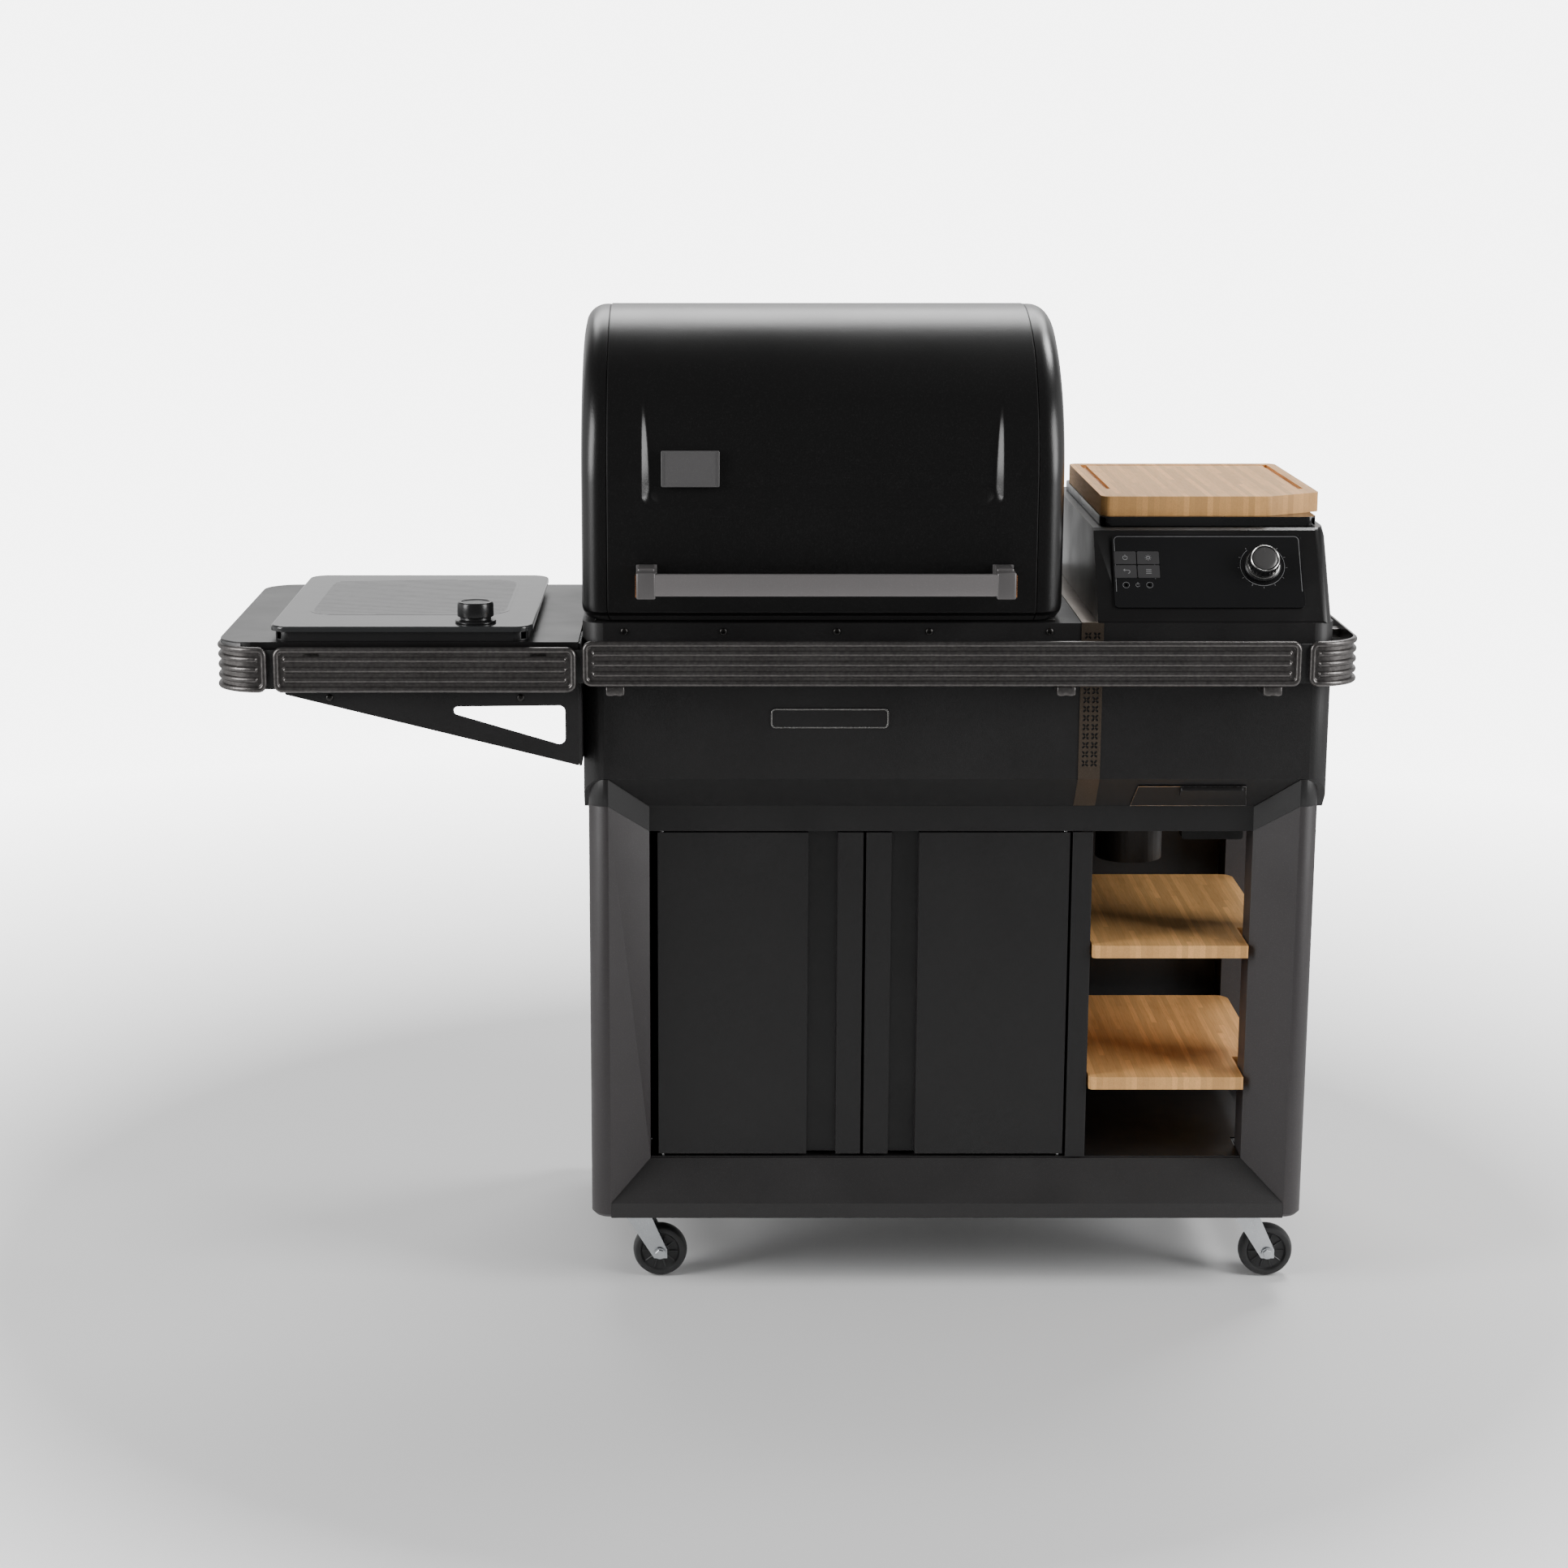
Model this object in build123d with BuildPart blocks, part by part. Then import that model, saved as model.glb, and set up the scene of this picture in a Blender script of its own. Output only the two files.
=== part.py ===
from build123d import *
import os

# Pellet smoker grill on a cabinet cart.
# Millimetres, +Z up, the front faces -Y, and the origin lies on the floor under the middle of the outline.

os.makedirs("parts", exist_ok=True)

# ---------------------------------------------------------------- driving dimensions
WIDTH = 1499.0              # over both corner rails
HALF_DEPTH = 325.0          # from the origin to the handle in front and to the duct behind
SHEET = 2.0                 # folded steel sheet
FIT = 0.05                  # radial clearance of pins and shafts
GAP = 0.3                   # least gap between a moving piece and its neighbour

# cart
CART_X = (-263.5, 709.0)
CART_Y = (-272.0, 262.0)
CART_MID_X = sum(CART_X) / 2
FRAME_LOW = 111.0           # underside of the lower frame
LIP_TOP = 132.0             # top of the frame's upright front lip
SILL = 183.0                # top of the lower frame
BEVEL_OUT = 27.0            # leg's outer edge to the start of its bevel
BEVEL_IN = 80.5             # leg's outer edge to the inner end of its bevel
RECESS_Y = -230.0           # plane of the doors and the front beam
LEG_BACK_Y = -150.0         # back of a front leg
REAR_LEG_W = 48.5
REAR_LEG_Y = 162.0          # front of a rear leg
TUBE_H = 40.0               # height of the lower frame's rear and side tubes
REAR_MEMBER_Y = 140.0       # front of the lower frame's rear tube
CAP_LOW = 688.0             # underside of the cap band at the outer corner
CAP_TOP = 726.0             # top of the cap band at the outer corner
BEAM_LOW = 645.0
BEAM_TOP = 680.0
BEAM_BACK = -190.0
BACK_PANEL_Y = 218.0

# doors and open bay
DOOR_THICK = 18.0
DOOR_Z = (189.0, 643.0)
LEFT_DOOR_X = (-172.0, 105.0)
RIGHT_DOOR_X = (109.0, 383.0)
DOOR_PANEL_W = 203.0        # flat outer part of a door
DOOR_STILE_W = 34.0         # narrow inner part of a door, past the finger groove
GROOVE_DEPTH = 12.0
HINGE_INSET = 6.0
DOOR_PIN_R = 2.5
POST_X = (386.5, 413.5)
BOARD_X = (416.0, 668.0)
BOARD_Y = (-240.0, 155.0)
BOARD_THICK = 17.5
BOARD_TOPS = (302.0, 488.0)
BATTEN = 14.0               # batten under a board, held between the right legs

# casters
WHEEL_R = 37.5
WHEEL_W = 26.0
AXLE_R = 4.0
TRAIL = 34.0                # wheel axle behind the swivel axis
SWIVEL_X = (-205.0, 640.0)
SWIVEL_Y = (-195.0, 185.0)
FORK_TOP = 99.0
FORK_THICK = 3.0
FORK_HALF = 15.0            # swivel axis to the inside of a fork leg
KINGPIN_R = 5.0

# body
BODY_X = (-269.5, 719.5)
BODY_Y = (-272.0, 262.0)
BODY_LOW = 680.0
CREASE_Z = 726.0
BODY_TOP = 935.0
BODY_CORNER = 28.0
BODY_MID_Y = sum(BODY_Y) / 2
CHAMBER_X = (-243.0, 343.0)
CHAMBER_Y = (-243.0, 233.0)
CHAMBER_LOW = 705.0
PARTITION_X = (372.0, 374.0)

# hood
HOOD_X = (-270.0, 362.0)
HOOD_Y = (-268.0, 258.0)
HOOD_LOW = 938.0
HOOD_SPRING = 1120.0        # where the upright walls turn into the barrel top
HOOD_TOP = 1333.0
HOOD_EDGE = 28.0
HOOD_HINGE_Y = 268.0
HOOD_HINGE_Z = 946.0
HOOD_PIN_R = 4.0
KNUCKLE_R = 8.0
HANDLE_X = (-198.0, 295.0)
HANDLE_Z = (978.0, 1007.0)
HANDLE_BLOCK = 27.5
HANDLE_THICK = 9.0

# hopper and console
CONSOLE_X = (407.0, 715.0)
CONSOLE_FOOT = (-270.0, 937.5)      # y, z at the foot of the sloped panel
CONSOLE_BROW = (-197.0, 1047.0)     # y, z at the top of the sloped panel
CONSOLE_TOP = 1050.0
CONSOLE_BACK = 255.0
CONSOLE_SPAN = (CONSOLE_BROW[0] - CONSOLE_FOOT[0], CONSOLE_BROW[1] - CONSOLE_FOOT[1])
PANEL_W = 250.0
PANEL_H = 106.0
PANEL_THICK = 3.0
PANEL_MID = (555.0, 996.5)          # x, z of the panel's middle
BUTTON_W = 29.0
BUTTON_H = 18.4
BUTTON_PITCH = (30.5, 20.0)
BUTTON_MID = (-93.5, 9.0)           # panel x, y of the middle of the four buttons
JACK_Y = -20.5
JACK_R = 1.8
KNOB_AT = (72.0, 7.8)               # panel x, y of the control knob
KNOB_R = 24.0
BIN_TOP_X = (428.0, 697.0)
BIN_TOP_Y = (-152.0, 215.0)
BIN_TOP_Z = 1048.0
BIN_LOW_X = (440.0, 600.0)
BIN_LOW_Y = (-28.0, 18.0)
BIN_LOW_Z = 790.0
BIN_SHEET = 1.5
LID_X = (418.0, 706.0)
LID_Y = (-182.0, 232.0)
LID_Z = (1051.0, 1063.0)
LID_HINGE_Y = 242.0
LID_HINGE_Z = 1057.0
LID_PIN_R = 2.5
LID_KNUCKLE_R = 5.5
CUT_BOARD_X = (420.0, 718.0)
CUT_BOARD_Y = (-172.0, 213.0)
CUT_BOARD_TOP = 1089.0

# grates
GRATE_Y = (-235.0, 225.0)
GRATE_Z = (884.0, 890.0)
GRATE_EDGE = 6.0
GRATE_BAR = 5.0
GRATE_PITCH = 22.0
RACK_X = (-210.0, 310.0)
RACK_Y = (-45.0, 185.0)
RACK_Z = (1030.0, 1035.0)

# auger and fan
AUGER_Y = -5.0
AUGER_Z = 762.0
TUBE_R = 27.0
TUBE_WALL = 2.0
TUBE_FIT = 0.5              # radial room round the tube where it passes a wall
FLIGHT_R = 22.0
AUGER_SHAFT_R = 7.0
AUGER_X = (75.0, 640.0)
AUGER_PITCH = 47.0
FAN_AT = (480.0, 790.0)             # x, z of the fan's shaft
FAN_Y = (165.0, 215.0)
FAN_R = 54.0
KEG_AT = (485.0, -60.0)             # x, y of the ash keg
KEG_RIM_Z = 634.0                   # underside of the keg's rim
KEG_RAIL_HALF = 70.0
KEG_R = 46.0

# exhaust duct behind the body
DUCT_X = (-100.0, 200.0)
DUCT_Z = (730.0, 905.0)
DUCT_ROUND = 18.0

# side shelf, cooktop and rails
SHELF_X = (-745.0, -273.0)
SHELF_Y = (-302.0, 190.0)
SHELF_TOP = 915.0
SHELF_SKIRT = 30.0
GLASS_X = (-676.0, -333.0)
GLASS_Y = (-300.0, 150.0)
GLASS_Z = (928.0, 935.0)
GLASS_CORNER = 25.0
ZONE_X = (-638.0, -371.0)           # printed cooking zone on the glass
ZONE_Y = (-205.0, 105.0)
ZONE_CORNER = 40.0
ZONE_PRINT = 0.2
COOK_KNOB_AT = (-409.0, -262.0)
RAIL_Y = -317.0
RAIL_THICK = 6.0
RAIL_H = 60.0
RAIL_LOW = 858.0
SHELF_RAIL_LOW = 850.0
FRONT_RAIL_X = (-267.5, 668.0)
SHELF_RAIL_X = (-670.0, -275.5)
CORNER_RAIL_R = 60.0
CORNER_RAIL_BACK = 185.0
CORNER_RAIL_INNER = 678.0
BRACKET_LOW = 750.0
BRACKET_TOP = 850.0


# ---------------------------------------------------------------- helpers
# Small parts
PIN_BORE = 10.0             # depth of a pin's hole in sheet
TAB = 14.0                  # length of a hinge knuckle on body and hood
LID_TAB = 10.0              # length of a hinge knuckle on console and lid
BODY_TAB_X = (-236.0, 316.0)
HOOD_TAB_X = (-220.0, 300.0)
CONSOLE_TAB_X = (432.0, 682.0)
LID_TAB_X = (445.0, 669.0)
EXHAUST_X = (-60.0, 160.0)  # hole through the casing's back wall
EXHAUST_Z = (780.0, 890.0)
MOUTH_X = (418.0, 675.0)    # pellet opening through deck and console floor
MOUTH_Y = (-112.0, 155.0)
CLEANOUT_X = (461.0, 617.0)
LEDGE_X = (400.0, 430.0)    # ledge that carries a board along the divider
LEDGE_Y = (-200.0, 150.0)
PLATE_HALF = 30.0           # caster plate
PLATE_THICK = 3.0
FORK_HEAD = 18.0
LINER = 1.5                 # sheet of the liner and door leaves
TRAY_X = (-225.0, 325.0)
TRAY_Y = (-225.0, 215.0)
TRAY_Z = (838.0, 850.0)
BAFFLE_X = (-150.0, 250.0)  # heat baffle over the fire pot
BAFFLE_Y = (-120.0, 110.0)
BAFFLE_LOW = 806.0
POT_R = 62.0
POT_H = 90.0
POT_WALL = 4.0
PROBE_AT = (-241.5, 60.0, 866.0)
PROBE_LEN = 70.0
TUBE_X = (56.0, 646.0)
GEARBOX_X = (653.0, 700.0)
GEARBOX_HALF = 32.0
OUTLET_H = 42.0             # blower outlet
OUTLET_REACH = 104.0
FAN_DISC_R = 44.0
FAN_BLADES = 20
KEG_DEPTH = 64.0
CONTROLLER_X = (555.0, 640.0)
CONTROLLER_Y = (-90.0, 60.0)
CONTROLLER_LOW = 600.0
INLET_X = (590.0, 650.0)
INLET_Z = (770.0, 820.0)
INLET_DEEP = 10.0
INLET_PINS = ((611.0, 792.0), (629.0, 792.0), (620.0, 799.0))
BADGE_X = (-165.0, -89.0)
BADGE_Z = (1112.0, 1161.0)
BADGE_THICK = 3.0
NAMEPLATE_X = (-21.0, 134.0)
NAMEPLATE_Z = (795.0, 821.0)
NAMEPLATE_THICK = 2.0
BOARD_CUT = (46.0, 74.0)    # cut corner of the cutting board
GROOVE_IN = 14.0            # juice groove from the board's edge
GROOVE_W = 8.0
GROOVE_DEEP = 4.0
PANEL_EDGE = 7.0            # border of the display panel that lies on the console
KEY_HEIGHT = 1.8
KNOB_SHAFT_R = 4.0
KNOB_SKIRT = 7.0
KNOB_BODY = 16.0
STRIP_X = (385.7, 414.6)
STRIP_DECK_X = (385.7, 407.0)
STRIP_THICK = 1.2
STRIP_HOLES = (11.0, 12.4, 2, 15)
WEB_Y = ((-300.0, -297.0), (150.0, 153.0))
WEB_THICK = 3.0
BRACKET_X = (-657.0, -273.0)
BRACKET_HOLE = [(-461.0, 825.0), (-293.0, 829.0), (-293.0, 778.0)]
COOK_RIM = 6.0              # the cooktop's housing stands in from its glass
COOK_SHAFT_R = 3.0
COOK_KNOB_STEPS = ((27.0, 3.0), (21.0, 4.0), (24.0, 21.0))
RAIL_ROUND = 10.0
RAIL_RIB = 3.0
RAIL_BORDER = 6.0
RAIL_RIB_PITCH = 13.0
TAB_HALF = 13.0             # half length of a rail tab
FRONT_TABS_X = (-225.0, 363.0, 632.0)
SHELF_TABS_X = (-620.0, -325.0)
CORNER_TABS_Y = (-180.0, 140.0)
CORNER_WALL = 4.0
SCREWS_X = (-214.0, -84.0, 65.0, 186.0, 344.0)
SCREWS_Z = 924.0
BRACKET_SCREWS_X = (-599.0, -349.0)
BRACKET_SCREWS_Z = 841.0
SCREW_R = 4.5
SCREW_HIGH = 2.5
CUT = 5.0                   # how far a cutting body overshoots

def span_box(x, y, z, mode=Mode.ADD):
    """Box between the lowest and highest coordinate given for each axis."""
    with Locations((sum(x) / 2, sum(y) / 2, sum(z) / 2)):
        Box(x[1] - x[0], y[1] - y[0], z[1] - z[0], mode=mode)


def rod(start, direction, radius, length, mode=Mode.ADD):
    """Cylinder that starts at a point and runs along a direction."""
    with Locations(Plane(origin=start, z_dir=direction)):
        Cylinder(radius, length, align=(Align.CENTER, Align.CENTER, Align.MIN), mode=mode)


def grow(span, amount):
    """The same span, longer by amount at each end."""
    return (span[0] - amount, span[1] + amount)


def length(span):
    return span[1] - span[0]


def prism(plane, points, amount, both=False, mode=Mode.ADD):
    """Straight prism on a closed outline."""
    with BuildPart() as solid:
        with BuildSketch(plane):
            with BuildLine():
                Polyline(*points, close=True)
            make_face()
        extrude(amount=amount, both=both)
    add(solid.part, mode=mode)


def body_block(inset):
    """Body with tapered front and rear undersides, every face moved inwards by inset."""
    with BuildPart() as block:
        with BuildSketch(Plane.XY.offset(BODY_LOW)):
            with Locations((sum(BODY_X) / 2, BODY_MID_Y)):
                RectangleRounded(length(BODY_X) - 2 * inset, length(BODY_Y) - 2 * inset, BODY_CORNER - inset)
        extrude(amount=BODY_TOP - BODY_LOW)
        taper = CREASE_Z - BODY_LOW
        with BuildSketch(Plane.YZ):
            with BuildLine():
                Polyline(
                    (BODY_Y[0], BODY_TOP),
                    (BODY_Y[0], CREASE_Z),
                    (BODY_Y[0] + taper - 4, BODY_LOW),
                    (BODY_Y[1] - taper + 4, BODY_LOW),
                    (BODY_Y[1], CREASE_Z),
                    (BODY_Y[1], BODY_TOP),
                    close=True,
                )
            make_face()
            if inset:
                offset(amount=-inset)
        extrude(amount=WIDTH, both=True, mode=Mode.INTERSECT)
    return block.part


body_envelope = body_block(0)
body_hollow = body_block(SHEET)


# ---------------------------------------------------------------- cart: legs and frames
def mitre_outline(low, inner_low, inner_high, high):
    """Front view (x, z) of a left leg piece whose ends are mitred along its bevel."""
    outer = CART_X[0]
    turn = outer + BEVEL_OUT
    inner = outer + BEVEL_IN
    return [(outer, low), (turn, low), (inner, inner_low), (inner, inner_high), (turn, high), (outer, high)]


def leg_section():
    """Hollow section of a left front leg: rounded outer corner, bevel and chamfered inner back corner."""
    outer = CART_X[0]
    with BuildSketch() as section:
        with BuildLine():
            Polyline(
                (outer, LEG_BACK_Y),
                (outer, CART_Y[0]),
                (outer + BEVEL_OUT, CART_Y[0]),
                (outer + BEVEL_IN, RECESS_Y),
                (outer + BEVEL_IN, LEG_BACK_Y - 30),
                (outer + REAR_LEG_W, LEG_BACK_Y),
                close=True,
            )
        make_face()
        fillet(section.vertices().sort_by_distance((outer, CART_Y[0]))[0], BEVEL_OUT - 1)
        offset(amount=-SHEET, mode=Mode.SUBTRACT)
    return section.sketch


with BuildPart() as corner_legs:
    with BuildSketch(Plane.XY.offset(FRAME_LOW)):
        add(leg_section())
    extrude(amount=CAP_LOW - FRAME_LOW)
    prism(Plane.XZ, mitre_outline(LIP_TOP, SILL, BEAM_LOW, CAP_LOW), WIDTH, both=True, mode=Mode.INTERSECT)
    with BuildSketch(Plane.XY.offset(FRAME_LOW)) as foot_plan:
        with Locations((CART_X[0], CART_Y[0])):
            Rectangle(BEVEL_OUT, LEG_BACK_Y - CART_Y[0], align=(Align.MIN, Align.MIN))
        fillet(foot_plan.vertices().sort_by_distance((CART_X[0], CART_Y[0]))[0], BEVEL_OUT - 1)
    extrude(amount=LIP_TOP - FRAME_LOW)
    chamfer(corner_legs.edges().group_by(Axis.Z)[0].sort_by(Axis.X)[0], 5)
    rear_leg_x = (CART_X[0], CART_X[0] + REAR_LEG_W)
    with BuildSketch(Plane.XY.offset(FRAME_LOW + TUBE_H)) as rear_plan:
        with Locations((sum(rear_leg_x) / 2, (REAR_LEG_Y + CART_Y[1]) / 2)):
            Rectangle(REAR_LEG_W, CART_Y[1] - REAR_LEG_Y)
        fillet(rear_plan.vertices().sort_by_distance((CART_X[0], CART_Y[1]))[0], BEVEL_OUT - 1)
        offset(amount=-SHEET, mode=Mode.SUBTRACT)
    extrude(amount=CAP_TOP - FRAME_LOW - TUBE_H)
    mirror(about=Plane.YZ.offset(CART_MID_X))
    add(body_envelope, mode=Mode.SUBTRACT)

# The front member of the lower frame is a hollow section, mitred to the legs along their bevels.
with BuildPart() as front_member:
    front_section = [
        (CART_Y[0], FRAME_LOW),
        (CART_Y[0], LIP_TOP),
        (RECESS_Y, SILL),
        (LEG_BACK_Y, SILL),
        (LEG_BACK_Y, FRAME_LOW),
    ]
    with BuildSketch(Plane.YZ.offset(CART_X[0] + BEVEL_OUT)):
        with BuildLine():
            Polyline(*front_section, close=True)
        make_face()
        offset(amount=-SHEET, mode=Mode.SUBTRACT)
    extrude(amount=length(CART_X) - 2 * BEVEL_OUT)
    front_view = [
        (CART_X[0] + BEVEL_OUT, FRAME_LOW),
        (CART_X[0] + BEVEL_OUT, LIP_TOP),
        (CART_X[0] + BEVEL_IN, SILL),
        (CART_X[1] - BEVEL_IN, SILL),
        (CART_X[1] - BEVEL_OUT, LIP_TOP),
        (CART_X[1] - BEVEL_OUT, FRAME_LOW),
    ]
    prism(Plane.XZ, front_view, WIDTH, both=True, mode=Mode.INTERSECT)
    for hinge_x in (LEFT_DOOR_X[0] + HINGE_INSET, RIGHT_DOOR_X[1] - HINGE_INSET):
        bore_at = (hinge_x, RECESS_Y + HINGE_INSET, SILL - PIN_BORE / 2)
        rod(bore_at, (0, 0, 1), DOOR_PIN_R + FIT, PIN_BORE, Mode.SUBTRACT)


def closed_tube(x, y, z):
    """Rectangular tube with closed ends."""
    with BuildPart() as tube:
        span_box(x, y, z)
        span_box(grow(x, -SHEET), grow(y, -SHEET), grow(z, -SHEET), Mode.SUBTRACT)
    return tube.part


tube_z = (FRAME_LOW, FRAME_LOW + TUBE_H)
side_y = (LEG_BACK_Y, REAR_MEMBER_Y)
lower_frame = Compound(
    children=[
        front_member.part.solids()[0],
        closed_tube(CART_X, (REAR_MEMBER_Y, CART_Y[1]), tube_z).solids()[0],
        closed_tube((CART_X[0], CART_X[0] + TUBE_H), side_y, tube_z).solids()[0],
        closed_tube((CART_X[1] - TUBE_H, CART_X[1]), side_y, tube_z).solids()[0],
    ]
)

with BuildPart() as top_frame:
    with BuildSketch(Plane.XY.offset(BEAM_LOW)):
        add(leg_section())
    extrude(amount=CAP_TOP - BEAM_LOW)
    cap_view = mitre_outline(CAP_LOW, BEAM_LOW, BEAM_TOP - 1, CAP_TOP - 1)
    prism(Plane.XZ, cap_view, WIDTH, both=True, mode=Mode.INTERSECT)
    mirror(about=Plane.YZ.offset(CART_MID_X))
    add(body_envelope, mode=Mode.SUBTRACT)
    with BuildSketch(Plane.YZ.offset(CART_X[0] + BEVEL_IN)):
        with Locations(((RECESS_Y + BEAM_BACK) / 2, (BEAM_LOW + BEAM_TOP) / 2)):
            Rectangle(BEAM_BACK - RECESS_Y, BEAM_TOP - BEAM_LOW)
        offset(amount=-SHEET, mode=Mode.SUBTRACT)
    extrude(amount=length(CART_X) - 2 * BEVEL_IN)
    for hinge_x in (LEFT_DOOR_X[0] + HINGE_INSET, RIGHT_DOOR_X[1] - HINGE_INSET):
        bore_at = (hinge_x, RECESS_Y + HINGE_INSET, BEAM_LOW - PIN_BORE / 2)
        rod(bore_at, (0, 0, 1), DOOR_PIN_R + FIT, PIN_BORE, Mode.SUBTRACT)

# ---------------------------------------------------------------- cart: cabinet, doors and bay
with BuildPart() as cabinet_shell:
    wall_x = (CART_X[0] + REAR_LEG_W, CART_X[1] - REAR_LEG_W)
    inner_x = (CART_X[0] + BEVEL_IN + 1, CART_X[1] - BEVEL_IN - 1)
    floor_z = (SILL, SILL + SHEET)
    span_box(inner_x, (RECESS_Y + 2, BACK_PANEL_Y), floor_z)
    span_box(wall_x, (LEG_BACK_Y + 1, BACK_PANEL_Y), floor_z)
    span_box(wall_x, (BACK_PANEL_Y, BACK_PANEL_Y + SHEET), (SILL, BODY_LOW))
    span_box((wall_x[0], wall_x[0] + SHEET), (LEG_BACK_Y + 1, BACK_PANEL_Y), (SILL, BODY_LOW))
    for hinge_x in (LEFT_DOOR_X[0] + HINGE_INSET, RIGHT_DOOR_X[1] - HINGE_INSET):
        bore_at = (hinge_x, RECESS_Y + HINGE_INSET, SILL - PIN_BORE / 2)
        rod(bore_at, (0, 0, 1), DOOR_PIN_R + FIT, PIN_BORE, Mode.SUBTRACT)

# The divider is a folded post with a wall behind it and a ledge under each board.
with BuildPart() as divider:
    floor_top = SILL + SHEET
    post_y = (RECESS_Y - 2, RECESS_Y + 18)
    span_box(POST_X, post_y, (floor_top, BEAM_LOW - 1))
    span_box(grow(POST_X, -SHEET), (post_y[0] + SHEET, post_y[1]), (floor_top, BEAM_LOW - 1), Mode.SUBTRACT)
    span_box((LEDGE_X[0] - SHEET, LEDGE_X[0]), (post_y[0] + SHEET, BACK_PANEL_Y), (floor_top, BEAM_LOW - 1))
    for board_top in BOARD_TOPS:
        under = board_top - BOARD_THICK
        span_box(LEDGE_X, LEDGE_Y, (under - SHEET, under))

with BuildPart() as bay_boards:
    for board_top in BOARD_TOPS:
        span_box(BOARD_X, BOARD_Y, (board_top - BOARD_THICK, board_top))
    fillet(bay_boards.edges().filter_by(Axis.Z).group_by(Axis.X)[-1], 18)
    leg_notch_x = (CART_X[1] - BEVEL_IN - 2, BOARD_X[1] + 5)
    leg_notch_y = (BOARD_Y[0] - 5, LEG_BACK_Y + 4)
    span_box(leg_notch_x, leg_notch_y, (BOARD_TOPS[0] - 50, BOARD_TOPS[1] + 50), Mode.SUBTRACT)
    fillet(bay_boards.edges().filter_by(Axis.Z).group_by(Axis.X)[0], 6)
    for board_top in BOARD_TOPS:
        under = board_top - BOARD_THICK
        span_box((BOARD_X[1] - BATTEN, BOARD_X[1]), (LEG_BACK_Y, REAR_LEG_Y), (under - BATTEN, under))


def door(span, hinge_side):
    """Door pressed from sheet, open at the back: outer panel, finger groove and inner stile."""
    low, high = span
    toward = -hinge_side
    start = high if hinge_side > 0 else low
    panel = sorted((start, start + toward * DOOR_PANEL_W))
    stile = sorted((start + toward * length(span), start + toward * (length(span) - DOOR_STILE_W)))
    groove = sorted((start + toward * DOOR_PANEL_W, start + toward * (length(span) - DOOR_STILE_W)))
    front, back = RECESS_Y, RECESS_Y + DOOR_THICK
    hinge_at = (start + toward * HINGE_INSET, front + HINGE_INSET)
    wall = LINER
    with BuildPart() as leaf:
        span_box(span, (front, back), DOOR_Z)
        span_box(groove, (front - 1, front + GROOVE_DEPTH), DOOR_Z, Mode.SUBTRACT)
        inner_z = grow(DOOR_Z, -wall)
        for bay in (panel, stile):
            span_box(grow(bay, -wall), (front + wall, back + 1), inner_z, Mode.SUBTRACT)
        span_box(grow(groove, wall), (front + GROOVE_DEPTH + wall, back + 1), inner_z, Mode.SUBTRACT)
        for low_z in (DOOR_Z[0], DOOR_Z[1] - TAB):
            rod((*hinge_at, low_z), (0, 0, 1), HINGE_INSET - 0.5, TAB)
        rod((*hinge_at, DOOR_Z[0] - 1), (0, 0, 1), DOOR_PIN_R + FIT, length(DOOR_Z) + 2, Mode.SUBTRACT)
    return leaf.part


left_door = door(LEFT_DOOR_X, -1)
right_door = door(RIGHT_DOOR_X, 1)


# ---------------------------------------------------------------- casters
def swivel_positions():
    """Name, x and y of each caster's swivel axis."""
    for end, y in (("front", SWIVEL_Y[0]), ("rear", SWIVEL_Y[1])):
        for side, x in (("left", SWIVEL_X[0]), ("right", SWIVEL_X[1])):
            yield f"{end}_{side}", x, y


with BuildPart() as caster_plates:
    for _, x, y in swivel_positions():
        span_box(grow((x, x), PLATE_HALF), grow((y, y), PLATE_HALF), (FRAME_LOW - PLATE_THICK, FRAME_LOW))
        rod((x, y, FORK_TOP + GAP), (0, 0, 1), 20, FRAME_LOW - FORK_TOP - GAP)
        rod((x, y, FORK_TOP - 6), (0, 0, 1), KINGPIN_R, 10)
        rod((x, y, FORK_TOP - 7), (0, 0, 1), 9, 7 - FORK_THICK - GAP)


def caster_fork(x, y):
    """Swivel fork with its axle, trailing towards +X."""
    with BuildPart() as fork:
        rod((x, y, FORK_TOP - FORK_THICK), (0, 0, 1), 24, FORK_THICK)
        for side in (-1, 1):
            inside = y + side * FORK_HALF
            side_plane = Plane(origin=(x, inside, 0), x_dir=(1, 0, 0), z_dir=(0, side, 0))
            outline = [(-FORK_HEAD, FORK_TOP), (FORK_HEAD, FORK_TOP), (TRAIL + 10, WHEEL_R + 4)]
            outline += [(TRAIL + 10, WHEEL_R - 8), (TRAIL - 8, WHEEL_R - 8)]
            prism(side_plane, [(along, -side * up) for along, up in outline], FORK_THICK)
        crown_y = grow((y, y), FORK_HALF + 2)
        span_box(grow((x, x), FORK_HEAD), crown_y, (FORK_TOP - FORK_THICK, FORK_TOP))
        rod((x, y, FORK_TOP - FORK_THICK - 1), (0, 0, 1), KINGPIN_R + FIT, FORK_THICK + 2, Mode.SUBTRACT)
        half = FORK_HALF + FORK_THICK
        rod((x + TRAIL, y - half, WHEEL_R), (0, 1, 0), AXLE_R, 2 * half)
        for side in (-1, 1):
            rod((x + TRAIL, y + side * half, WHEEL_R), (0, side, 0), 6.5, 3)
    return fork.part


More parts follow.
